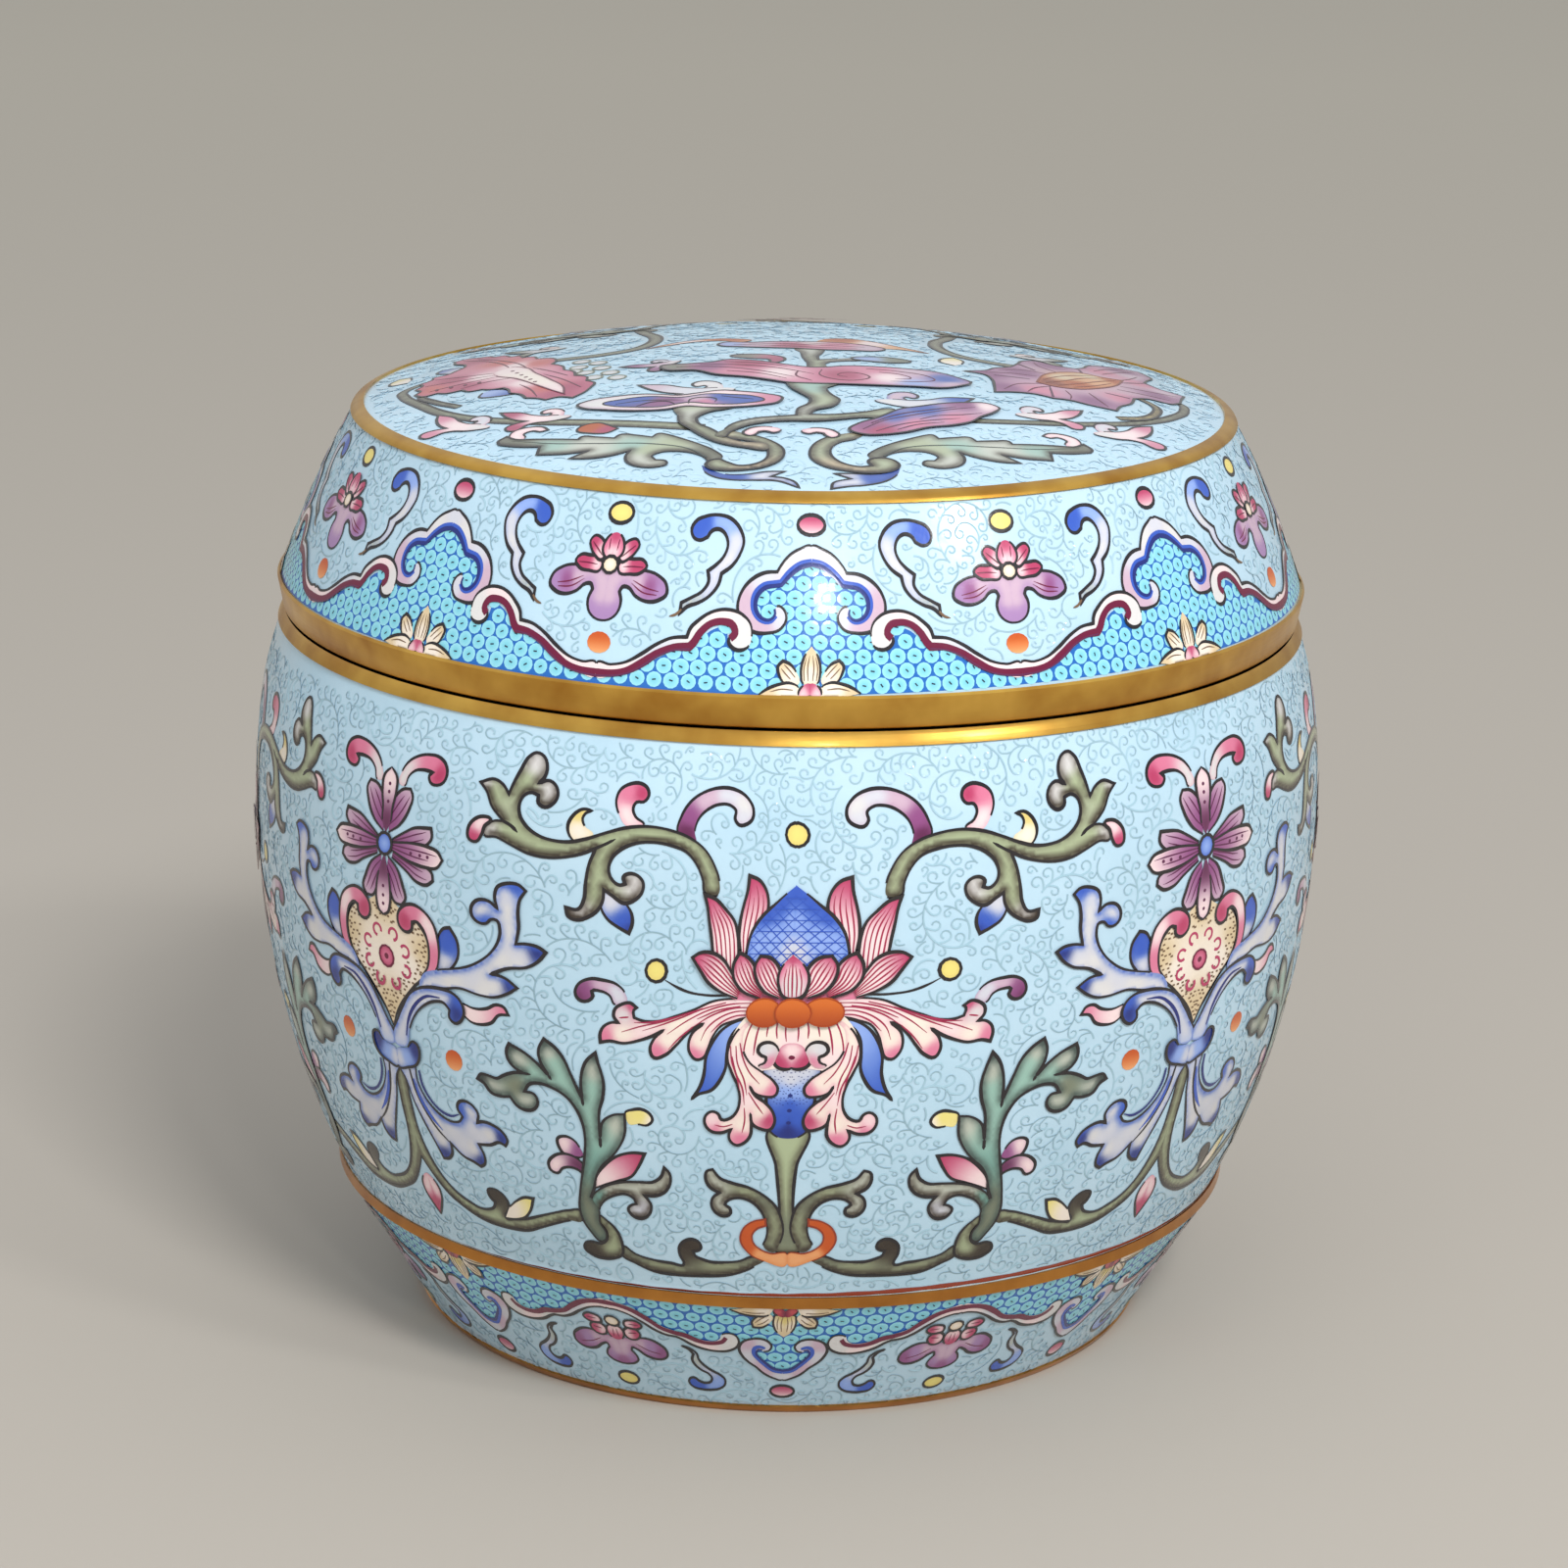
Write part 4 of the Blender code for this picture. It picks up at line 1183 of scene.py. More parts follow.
# %% One disc on every point
def diaper_tree():
    """A domed disc with a dash, on every point, square to the wall."""
    made = Geometry("Diaper", Radius="Float", Dome="Float", Finish="Material")
    radius, dome = made.given("Radius"), made.given("Dome")
    circle = {"Vertices": DISC_SIDES, "Radius": radius}
    circle = made.add("GeometryNodeMeshCircle", circle, fill_type="TRIANGLE_FAN")
    place = made.add("GeometryNodeInputPosition")
    share = made.add("ShaderNodeVectorMath", {0: place}, "Value", operation="LENGTH") / radius
    lift = made.add("ShaderNodeCombineXYZ", {"Z": dome * (1.0 - made.math("POWER", share, 2.0))})
    disc = made.add("GeometryNodeSetPosition", {"Geometry": circle, "Offset": lift})
    disc = made.stored(disc, "tone", made.mix(share, DISC_MIDDLE, DISC_EDGE), "FLOAT_COLOR")
    bar = {"Size X": DASH_LONG, "Size Y": DASH_WIDE, "Vertices X": 2, "Vertices Y": 2}
    bar = made.add("GeometryNodeMeshGrid", bar)
    above = made.add("ShaderNodeCombineXYZ", {"Z": dome + DASH_RISE})
    bar = made.add("GeometryNodeTransform", {"Geometry": bar, "Translation": above})
    bar = made.stored(bar, "tone", DASH_TONE, "FLOAT_COLOR")
    both = made.add("GeometryNodeJoinGeometry", {0: disc})
    made.join(both.socket.node.inputs[0], bar)
    square = made.add("GeometryNodeInputNamedAttribute", {"Name": "square"}, data_type="FLOAT_VECTOR")
    upright = made.add("FunctionNodeAlignRotationToVector", {"Vector": square}, axis="Z")
    size = made.add("FunctionNodeRandomValue", {2: 0.93, 3: 1.05, "Seed": 4}, 1, data_type="FLOAT")
    spots = {"Points": made.given("Geometry"), "Instance": both, "Rotation": upright, "Scale": size}
    set_down = made.add("GeometryNodeInstanceOnPoints", spots)
    lean = made.add("FunctionNodeRandomValue", {2: -0.9, 3: 0.1, "Seed": 9}, 1, data_type="FLOAT")
    spin = made.add("ShaderNodeCombineXYZ", {"Z": lean})
    return made.finish(made.add("GeometryNodeRotateInstances", {"Instances": set_down, "Rotation": spin}))


DISC_SIDES, DISC_DOME, DISC_BEYOND = 12, 0.03, 0.5
DISC_MIDDLE, DISC_EDGE = colour(108, 190, 208), colour(146, 212, 226)
DASH_LONG, DASH_WIDE, DASH_RISE = 0.46 * MM, 0.17 * MM, 0.012 * MM
DASH_TONE = colour(34, 44, 66)
DIAPER = diaper_tree()


def lattice(line, columns, rows, first, pitch, region, repeats, drawn_half, turn):
    """Points in staggered rows on a wall, as far as they lie in a region of the half pattern."""
    half = math.pi * WIDEST / repeats
    step = 2 * math.pi * WIDEST / columns
    u, row = (a.ravel() for a in np.meshgrid(np.arange(columns) * step, np.arange(rows)))
    spots = np.column_stack([u + (row % 2) * step / 2, first + row * pitch])
    folded = half - np.abs(spots[:, 0] % (2 * half) - half)
    flat = np.column_stack([folded * drawn_half / half, spots[:, 1]])
    kept = spots[inside_of(region, flat) | (gap_to(region, flat)[1] < DISC_BEYOND)]
    low, high = (
        on_wall(line, turn)(np.column_stack([kept, np.full(len(kept), off + FIRST_COAT + 1.5 * COAT)]))
        for off in (0, 1.0)
    )
    mesh = bpy.data.meshes.new("lattice")
    mesh.from_pydata((low * MM).tolist(), [], [])
    mesh.attributes.new("square", "FLOAT_VECTOR", "POINT").data.foreach_set("vector", (high - low).ravel())
    return mesh


def diaper(name, mesh, radius):
    piece = as_piece(name, mesh, DIAPER, Radius=radius * MM, Dome=DISC_DOME * MM, Finish=ENAMEL)
    piece.data.shade_smooth()
    print(name, "has", len(mesh.vertices), "discs")
    return piece


def border(painting, name, line, repeats, drawn_half, region, discs, radius, turn=0.0):
    """A border that is painted and laid all round a wall, with its diaper. The discs' numbers are
    their columns and rows, the height of the first row and the pitch between rows."""
    layer = all_round(painting.lift(), repeats, drawn_half)
    flowers = painted(f"{name}_border", *layer, on_wall(line, turn))
    mesh = lattice(line, *discs, region, repeats, drawn_half, turn)
    return [flowers, diaper(f"{name}_diaper", mesh, radius)]


# %% [markdown]
# ## The lid's side
# Eight cloud heads stand on the lid's edge, joined by brackets, with a comma between each two and a
# flower over each bracket. Half of one repeat is drawn, from the middle of a cloud head to the middle
# of a flower.

# %% The region of the diaper and the half lotus at its foot
BORDER_INK = 0.36
TAN_EDGE, ROSE_EDGE = (
    {"edge": edge, "reach": 0.3, "strength": 0.5, "width": BORDER_INK} for edge in ("tan", "rose")
)
UNDER_BORDER = 4
SIDE_REPEATS, SIDE_HALF = 8, 28.3
SIDE_TURN = math.radians(1.4)
side = Painting(-3, 31, 97, 122)
side_region = drawn("""0,113.2! 1.5,112.9 3,112 4.2,110.9! 5.4,110.8 6.8,110.2 7.7,109.2 7.8,107.8
    7.2,106.6 7.8,104.8 9,103.9 10.8,104.2 11.4,105.8 13.1,105.6 14.4,104.7 15.6,103.6! 18,103.1 20,102.3
    22,101.2 24,100.2 26,99.9 28.3,99.8! 28.3,98.62! 0,98.62!""", True)[0]
side.patch(side_region, "ring")
side.coats[side.coats == 1] = UNDER_BORDER
for path, dabs in [
    ("0,104!~ 0.7,103.2 1.2,102 1.25,100.9 0.9,99.9~ 0,99.8~", "0,103.6 tan;1,102 tan;0.2,101.2 cream"),
    ("1.4,100.1~ 1.9,101.2 2.8,102.1 3.7,102.4! 4.3,101.8 4.1,100.9 3.4,100~", "3.6,102 tan;2.6,101 cream"),
    ("1.3,98.65~ 1.5,99.5 2.4,99.95 4.2,99.8 5.6,99.3 6.6,98.7!~", "5.8,99 tan;3,99.4 cream"),
]:
    side.shape(path, "cream", dabs, **TAN_EDGE)
side.strokes("""0.3,100.2 0.4,101.6 0.2,103 / 0.8,100.2 0.9,101.6 0.6,102.8 / 2,100.6 2.8,101.4 3.5,102 /
    2.6,100.4 3.4,101.1 3.9,101.6 / 2.2,99.2 3.8,99.3 5.2,99""", 0.14, "sepia")
side.shape("0,99.9~ 0.9,99.7 1.4,99.2 1.5,98.65~ 0,98.65~", "pink", "0,99.6 rose;0.8,98.8 blush",
    "rose", 0.3, 0.4, 0.3)

# %% The cloud head and the bracket
side.shape("""0,114.9 1.5,114.6 3.1,113.8 4.2,112.7 4.7,112! 6.2,111.9 7.8,111.3 9.2,110.1 9.9,108.3
    9.4,106.6 8,105.6 5.9,105.4 4.1,105.9 3.4,107.1 3.8,108 4.7,108.3~ 4.9,107.5~ 5.4,106.9~ 6.7,107~
    7.5,108~ 7.4,109.2~ 6.4,110.2~ 4.9,110.5~ 4.1,110.6!~ 2.9,111.7~ 1.4,112.6~ 0,112.9~""", "lilac",
    "0,114.2 mist;3,113.2 white;6.6,111.4 mist;9,108.4 lilac;6.6,106 lilac;4.2,107.2 mist", None)
side.strokes("""0,113.25 1.5,112.95 3.1,112.05 4.25,110.95! 5,110.85 6.6,110.5 7.75,109.4 7.85,107.9
    6.9,106.75 5.4,106.6 4.7,107.2""", 0.56, "blue", (1, 0.5))
side.strokes("""0,112.9 1.4,112.6 2.9,111.7 4.1,110.6! 4.9,110.5 6.4,110.2 7.4,109.2 7.5,108 6.7,107
    5.4,106.9 4.9,107.5 5,108""", 0.5, "navy", (1, 0.6))
side.shape("""8.2,104~ 7.9,105 8.1,106.3 9.2,107.3 11.3,107.8 13.2,107.5 14.9,106.6 16.1,105.5 16.4,104.7!
    18.4,104.5 20.4,103.7 22.4,102.5 24.4,101.5 26.4,101.1 28.3,101.1~ 28.3,99.7~ 25.9,99.9~ 23.9,100.4~
    21.9,101.4~ 19.9,102.6~ 17.9,103.2~ 15.8,103.3!~ 14.9,104.3~ 14.2,105.2~ 13.2,105.9~ 11.8,106.25~
    10.6,106~ 10.1,105.5~ 10.6,105.1 10.9,104.4 10.3,103.7 9.2,103.5""", "white",
    "9,105 white;12,107 blush;15,105.6 white;20,103.2 mist;26,100.8 blush", None)
side.strokes("""10.7,104.7! 10.1,105.3 10.4,106.1 11.8,106.5 13.4,106.2 14.7,105.2 15.5,104.1 16,103.65!
    18.1,103.5 20.1,102.8 22.1,101.6 24.1,100.6 26.1,100.15 28.3,100""", 0.86, "wine", (0.9, 1))
side.strokes("15.9,103.4 18,103.2 20,102.5 22,101.3 24,100.3 26,99.85 28.3,99.7", 0.2, "plum", (1, 1))

# %% The comma, the flower and the dots
side.shape("""17.2,116.2 16.7,117 15.4,117.55 13.4,117.8 11.4,117.4 10.1,116.4 9.5,115.2 9.9,113.8
    10.9,112.5 12.3,111.6! 12.6,110.5 13.6,109.3 15.2,108.4 16.7,107.9 17.6,107.2! 17.5,108.3! 16.2,108.9
    14.7,109.7 14,110.7 14.2,111.8! 13,112.6 12.1,113.5 11.7,114.7 12.2,115.8 13.3,116.3 14.4,115.9
    14.7,115.4! 15.7,115 16.8,115.3""", "mist", """16.2,116.2 blue;15.2,116.9 blue;13,117.2 sky;
    10.6,115 mist;12,113 white;13.6,110.4 mist;16.4,108.4 ash;11.4,116.8 sky""", "blue", 0.35, 0.35, 0.42)
side.strokes("17.4,107.6 18.2,107 19,106.8", 0.3, "sepia")
side.shape("""28.3,111.5~ 25.4,111.3 23.2,111.4 21.1,111 19.8,110.1 19.6,109.2 20.7,108.4 22.4,108.2
    24,108.7 25.1,109.5 26,109.5 26.3,109! 25.9,108 26.2,106.8 27.2,106 28.3,105.8~""", "lilac",
    """20.6,109.4 violet;22,109.6 purple;24,110.2 lilac;27,109.6 lilac;28,106.6 violet;26.8,107 violet;
    27.6,108.4 lilac""", "violet", 0.7, 0.9)
for path, dabs in [
    ("22.9,111.9 23.4,112.4 24.9,112.5 26.7,112.2 27.1,111.7 26.9,111.1 25.2,110.9 23.7,111.1",
     "23.6,111.8 rose;26.6,111.8 blush;24.6,112.1 rose"),
    ("24.5,114 24.9,114.5 26.1,114.4 27,113.6 27.3,112.6 26.8,112.1 25.7,112.5 24.9,113.2",
     "25,114 rose;26.8,112.7 blush"),
    ("28.3,115.1~ 27.6,114.9 26.9,114.2 26.7,113.2 27.2,112.5 28.3,112.3~",
     "28.2,114.6 rose;27.2,113.8 pink;28,113 blush"),
]:
    side.shape(path, "pink", dabs, **ROSE_EDGE)
side.strokes("""23.4,111.7 25,111.7 26.4,111.6 / 25,113.9 26,113.2 26.8,112.6 / 27.6,114.4 27.7,113.2 /
    20.8,109.3 22.6,109.6 24.6,110.3 / 21,108.9 23,109.1 24.8,110""", 0.14, "wine")
side.dot(28.3, 111.7, 1.15, 0.9, "cream", "tan", width=BORDER_INK)
side.dot(28.3, 117.2, 1.9, 1.1, "yellow", "straw")
side.dot(0, 117.2, 1.95, 1.1, "rose", below="blush")
side.dot(28.3, 103.4, 1.65, 1.2, "orange", line=None, below="peach")
SIDE_DISCS = 200, 9, 99.6, 1.6
enamelled += border(
    side, "lid", side_line, SIDE_REPEATS, SIDE_HALF, side_region, SIDE_DISCS, 0.96, SIDE_TURN
)

# %% [markdown]
# ## The foot
# The same border hangs upside down from the fillet, a little plainer: a cloud head, a bracket, a comma
# and a flower, and a half lotus that hangs from the gilt line.

# %% Draw and lay the foot's border
FOOT_REPEATS, FOOT_HALF = 8, 27.0
foot = Painting(-3, 30, 0, 20)
foot_region = drawn("""0,7.7! 1.5,8 2.9,9 4,10 4.8,11.2 4.4,12.3 5.4,13.3 7.2,12.8 8.6,13.2 9.6,13.1
    10.2,12.7 11.8,12.3 13.5,12.6 15.4,13.3 17.3,13.6 19.2,14.3 21.2,15.4 23.3,16.6 25.4,17.2 27,17.3!
    27,18.7! 0,18.7!""", True)[0]
foot.patch(foot_region, "ring")
foot.coats[foot.coats == 1] = UNDER_BORDER
for path, dabs in [
    ("0,14!~ 1,14.8 1.6,15.9 1.7,17 1.4,17.9~ 0,18~", "0,14.6 tan;1,16 cream;0,17 straw"),
    ("1.8,17.6~ 2.4,16.4 3.4,15.7 4.7,15.7! 4.9,16.6 4.2,17.5 3,18.2~", "4,16.2 tan;3,17 cream"),
    ("1.9,18.7~ 2.4,18 4.4,17.7 6.4,18 8.2,18.68!~", "6,18.4 tan;3,18.3 cream"),
]:
    foot.shape(path, "straw", dabs, **TAN_EDGE)
foot.strokes("""0.4,15 0.5,16.4 0.3,17.6 / 1,15.4 1.1,16.6 0.9,17.6 / 2.4,17.2 3.2,16.5 4.2,16.1 / 3,17.6
    3.8,17.1 4.5,16.5 / 3,18.3 4.6,18.2 6.4,18.4""", 0.15, "sepia")
foot.shape("0,17.7~ 1.1,17.9 1.7,18.4 1.8,18.68~ 0,18.68~", "rose", "0,18.2 wine;1,18.3 coral",
    "wine", 0.3, 0.4, 0.3)
foot.shape("""0,6.1 1.5,6.4 3,7.2 4.3,8.4 5.4,9.2 6.4,10.3 6.9,11.7 6.3,12.9 5,13.5 3.5,13.6 2.3,13.1
    1.8,12.3 2.2,11.5 3,11.3~ 3.9,11.5~ 4.1,10.9~ 3.6,10~ 2.6,9~ 1.4,8.1~ 0,7.8~""", "lilac",
    "0,6.8 mist;3,8 lilac;5.6,10.4 mist;5.6,12.4 lilac;3,12.6 mist", None)
foot.strokes("0,7.6 1.4,7.9 2.7,8.85 3.8,9.85 4.6,11 4.4,11.9 3.6,12.15 2.8,11.9", 0.7, "blue", (1, 0.5))
foot.strokes("0,7.9 1.4,8.2 2.55,9.1 3.6,10.1 4.2,11 3.9,11.6 3.2,11.6", 0.42, "navy", (1, 0.5))
foot.shape("""9.8,13.3~ 9.5,14 8.5,14.3 7.4,14 6.9,13 7.2,12 8.4,11.2 10.5,10.9 12.5,11.1 14.5,11.7
    16,12.5 16.8,12.8! 18.5,12.95 20.2,13.6 22,14.7 24,15.7 26,16.15 27,16.2~ 27,17.5~ 25.2,17.4~ 23,16.9~
    20.8,15.7~ 18.9,14.4~ 17.1,13.9~ 15.2,13.6~ 13.4,12.9~ 11.8,12.6~ 10.4,12.8~""", "white",
    "8.4,12.6 white;12,11.6 blush;16,12.9 white;21,14.6 mist;26,16.6 blush", None)
foot.strokes("""8.9,13.5! 9.4,12.8 10.4,12.4 11.8,12.25 13.5,12.55 15.3,13.25 17.2,13.55 19,14.05
    20.9,15.3 23.1,16.5 25.3,17.05 27,17.15""", 0.75, "wine", (0.8, 1))
foot.shape("""16.3,11.1! 15.1,10.6 14.4,9.8! 14.7,8.8 14.2,7.7 13.2,6.9 12.2,6.4 11.7,5.6 12,4.9 12.9,4.6
    14,4.9 14.7,5.4 15.5,5.2 15.8,4.5 15.2,3.7 13.8,3.35 12,3.4 10.5,3.8 9.6,4.6 9.5,5.5 10.2,6.3 11.5,7
    12.9,8 13.6,8.9 13.8,9.9 14.8,10.7""", "mist",
    "15,4.5 blue;13.6,4 blue;12,3.9 sky;10.4,5 sky;12,6.9 mist;14,8.6 ash", "blue", 0.35, 0.4, 0.42)
foot.shape("""27,11~ 24.4,11 23.2,11.4 21.6,11.5 20,10.9 18.9,9.9 18.8,8.9 19.6,8.2 21,8 22.6,8.4 24,9.3
    24.8,9.5 25,8.9! 24.4,8.2 24.2,7.4 24.8,6.8 26,6.4 27,6.3~""", "lilac",
    """19.8,9.2 purple;21.4,9.8 violet;23.6,10.4 lilac;26,9.8 lilac;26.6,7 purple;25.4,7.6 violet;
    26.4,8.6 lilac""", "purple", 0.6, 0.7)
for path, dabs in [
    ("22.8,12.2 23.5,13 24.8,13 25.5,12.3 25.2,11.3 24.2,11 23.2,11.4", "23.4,12.2 rose;25,12 blush"),
    ("22.2,13.8 22.8,14.4 24,14.5 25,14.1 25.1,13.4 24,13.05 22.8,13.2", "22.8,13.8 rose;24.6,13.8 blush"),
    ("27,10.6~ 26.1,10.9 25.6,11.8 25.8,12.7 27,13.2~", "26.8,11 rose;26.8,12.6 blush"),
]:
    foot.shape(path, "pink", dabs, **ROSE_EDGE)
foot.strokes("23.4,12.3 24.8,12.1 / 22.8,13.8 24.4,13.8 / 26.6,11.2 26.7,12.6 / 20,9 22,9.4 24,10.3",
    0.15, "wine")
foot.dot(27, 13.9, 1.2, 0.85, "cream", "tan", width=BORDER_INK)
foot.dot(27, 3.8, 1.9, 1.05, "yellow", "straw")
foot.dot(0, 3.8, 2.0, 1.1, "rose", below="blush")
FOOT_DISCS = 176, 7, 18.0, -1.6
enamelled += border(foot, "foot", foot_line, FOOT_REPEATS, FOOT_HALF, foot_region, FOOT_DISCS, 0.95)

# %% [markdown]
# ## The dome
# The top carries one picture and not a repeat: a forked trunk with fungus caps rises from two hooked
# leaves, and long stems run out to a red flower at the left and a purple one at the right. The far
# half, which is seen only at a glancing angle, is kept plainer. A motif that comes back, such as the
# toothed leaf or the small sprig, is drawn once and moved, turned or flipped.

# %% Moving a motif, and stems from a middle line
DOME_INK = 0.36
DOME_TURN = math.radians(-0.9)
# How far the dome's tones are greyed: a painted sheen for the washed-out look of the glaze at a glancing
# angle.
DOME_SHEEN_GREYING = 0.24
BARK = {"edge": "bark", "reach": 0.9, "strength": 0.95}
dome = Painting(-57, 57, -57, 57)


def moved(text, at, turn=0.0, size=1.0, flip=False):
    """A text's points turned by degrees, scaled and moved, and mirrored first if flip is set."""
    points, _, _ = places(text)
    if flip:
        points = points * [-1, 1]
    cos, sin = size * math.cos(math.radians(turn)), size * math.sin(math.radians(turn))
    spots = points @ np.array([[cos, sin], [-sin, cos]]) + at
    marks = [word[len(word.rstrip("!~")) :] for word in text.split()]
    return " ".join(f"{u:.2f},{v:.2f}{mark}" for (u, v), mark in zip(spots, marks))


def moved_dabs(dabs, at, turn=0.0, size=1.0, flip=False):
    """The dabs of a shape, moved with it."""
    pairs = [dab.split() for dab in dabs.split(";")]
    spots = moved(" ".join(place for place, _ in pairs), at, turn, size, flip).split()
    return ";".join(f"{spot} {tone}" for spot, (_, tone) in zip(spots, pairs))


def stem(text, start, end, tone="moss"):
    """A stem on the dome whose width tapers along its middle line."""
    line = drawn(text)[0]
    ahead = np.gradient(line, axis=0)
    ahead /= np.linalg.norm(ahead, axis=1)[:, None]
    square = np.column_stack([-ahead[:, 1], ahead[:, 0]])
    half = np.interp(along(line), [0, along(line)[-1]], [start / 2, end / 2])[:, None]
    edges = line + square * half, line - square * half
    dome.patch(np.concatenate([edges[0], edges[1][::-1]]), tone, **BARK)
    for edge in edges:
        dome.ink(edge, DOME_INK, thin=(0.6, 0.5))


def on_dome(line, turn=0.0):
    """A function that lays flat spots, seen from above, on the dome."""
    rising, square = line[::-1], square_to(line)[::-1]
    cos, sin = math.cos(turn), math.sin(turn)

    def lay(spots):
        x, y, height = spots.T
        x, y = x * cos - y * sin, x * sin + y * cos
        radius = np.hypot(x, y)
        top, out, up = (np.interp(radius, rising[:, 0], values) for values in (rising[:, 1], *square.T))
        wider = 1 + out * height / np.maximum(radius, TINY)
        return np.column_stack([x * wider, y * wider, top + up * height])

    return lay


# %% The motifs that come back
LEAF = """0.5,-0.6~ -0.8,1.2 0.2,3.4 1.8,5.2 4,7.2 6,8.9! 7,9.4 7.8,8.3! 9.7,9.2 11.7,9.8 12.4,8.8!
    14.7,9.7 16.4,10.2 16.8,9.4! 19.8,10.4 22.4,11.2 24.6,12 25.7,13.4! 26.7,12 26.4,10.9! 24.2,9.5
    21.4,8.5! 21.6,6.1! 18.2,5.4 15.4,5.5! 17.6,3.8! 15.2,3.3 12.2,3.7 10.3,4.6! 10.8,3 10.5,1.2 9.1,-0.2
    7,-0.6 5.8,0 6,1 7.2,1.4! 7.6,2.6 6.6,3.5 4.8,3.6 2.8,2.9 1.4,1.6 0.8,0.2~"""
LEAF_DABS = """1.4,2.6 slate;5,6 moss;10,6.4 mint;15,7.4 ash;20,8.6 mint;24.5,10.8 slate;9.4,1.4 ash;
    8,4.6 moss"""
LEAF_CURL = """24.6,11.2~ 25.4,13.2 24.9,14.9 23.2,15.6 21.4,15.1 20.7,13.9! 21.6,13.6 22.6,14.2 23.6,13.6
    23.4,12.2~"""
SPRIG = """0,0~ 1.5,0.9 3.2,1.2 4.6,2 6,3.4 8.6,4.6! 7.8,2.6 6.4,0.8 5.2,0! 6.6,-0.4 7.6,-1.4 7.2,-2.6
    6.2,-2.8 5.6,-2.1! 5.2,-1.4 4,-0.9 2.6,-1 1.4,-0.8"""
SPRIG_HOOK = "1.2,0.6~ 0.9,2 1.5,3.2 2.8,3.6 3.6,2.9 3.4,2 2.6,2.1! 2.4,1.7 2.9,1.1~"


def leaf(at, turn=0.0, size=1.0, flip=False, curl=True):
    """The toothed leaf, with the pink curl behind its tip."""
    where = at, turn, size, flip
    if curl:
        dome.shape(moved(LEAF_CURL, *where), "blush", "", "pink", 0.4, 0.6, DOME_INK)
    dome.shape(moved(LEAF, *where), "ash", moved_dabs(LEAF_DABS, *where), "bark", 0.8, 0.9, DOME_INK)
    dome.ink(drawn(moved("1,1.4 3.4,4.2 8,6.2 14,7.4 20,9 25,11.6", *where))[0], 0.2, "pine", thin=(1, 0.3))


def sprig(at, turn=0.0, size=1.0, flip=False, tones=("blush", "pink", "mist")):
    """A small sprig of two curls and a pointed leaf."""
    where = at, turn, size, flip
    dome.shape(moved(SPRIG_HOOK, *where), tones[2], "", tones[1], 0.35, 0.6, DOME_INK)
    dabs = moved_dabs(f"0.8,0 white;4,0.6 {tones[0]};7.6,3.8 {tones[1]};6.8,-2 {tones[1]}", *where)
    dome.shape(moved(SPRIG, *where), tones[0], dabs, tones[1], 0.3, 0.4, DOME_INK)


# %% The long stems and the sprigs
stem("""-11,-36.6 -17,-34.9 -25,-32.4 -33,-29.4 -39,-25.8 -44,-20.4 -47.4,-14 -49.8,-8 -50.2,-5 -49,-3
    -47,-1.6""", 2.1, 1.1)
stem("-42,-19 -45.4,-14.4 -47.4,-10 -46.8,-7.6", 1.0, 0.8)
stem("20,-30.6 28,-28.2 36,-24.8 43,-19.6 47.6,-13.4 49.9,-7 49.8,-4 48.4,-2.6", 1.4, 1.1)
stem("40.6,-19.4 43.6,-17.2 45.8,-13 46,-9.4 44,-6.4", 1.2, 0.9, "straw")
for flip in (True, False):
    far_stem = "31,-0.4 25,0 20.8,2.2 18.6,6.4 18.4,11.4 20,17.4 20.6,24 18,31 12,36 5,38.4"
    stem(moved(far_stem, (0, 0), flip=flip), 1.8, 1.3)
sprig((37, -28), 18, 1.15)
sprig((27.4, -25.4), 8, 1.1)
sprig((-37.4, -29.6), -22, 1.12, True)
sprig((-27.4, -29.4), 0, 1.05, True, ("blush", "rose", "blush"))
sprig((-7.4, -22.4), 12, 1.3, True, ("mist", "lilac", "white"))
sprig((10, -25.6), -8, 1.35, False, ("mist", "blue", "lilac"))
sprig((-14.6, -7.4), 40, 0.8, True, ("lilac", "purple", "mist"))
sprig((-30, 9), 8, 0.9, True, ("mist", "slate", "blush"))
sprig((28, 8), -2, 0.9, False, ("mist", "slate", "blush"))
for path, base, tip in [
    ("20.4,-5 18.6,-3.6 18.8,-1.6 20.4,0.2! 21.6,-1.4 21.4,-3.6", "cream", "yellow"),
    ("-50.2,1.2 -52.4,1.8 -52.6,3.8 -51.6,5.6! -50.2,5 -49.8,3", "cream", "yellow"),
    ("-43,0.6 -45.2,2 -46.6,4 -46,5.8! -44,5.2 -42.8,3.2", "mist", "blue"),
]:
    dome.petal(path, base, tip, width=DOME_INK)
dome.shape("-25.6,-33.2 -23.8,-32.9 -22.6,-34 -21.4,-35.4! -22.8,-36.6 -24.8,-36.2 -26.4,-35", "peach",
    "-25,-34 orange;-22.6,-35.6 rose", "rust", 0.35, 0.4, 0.3)
dome.petal("-38.2,-13 -36.2,-14.4 -35.4,-16.8! -37.6,-16.8 -39.6,-16 -39.4,-14", "sky", "blue", width=0.4)

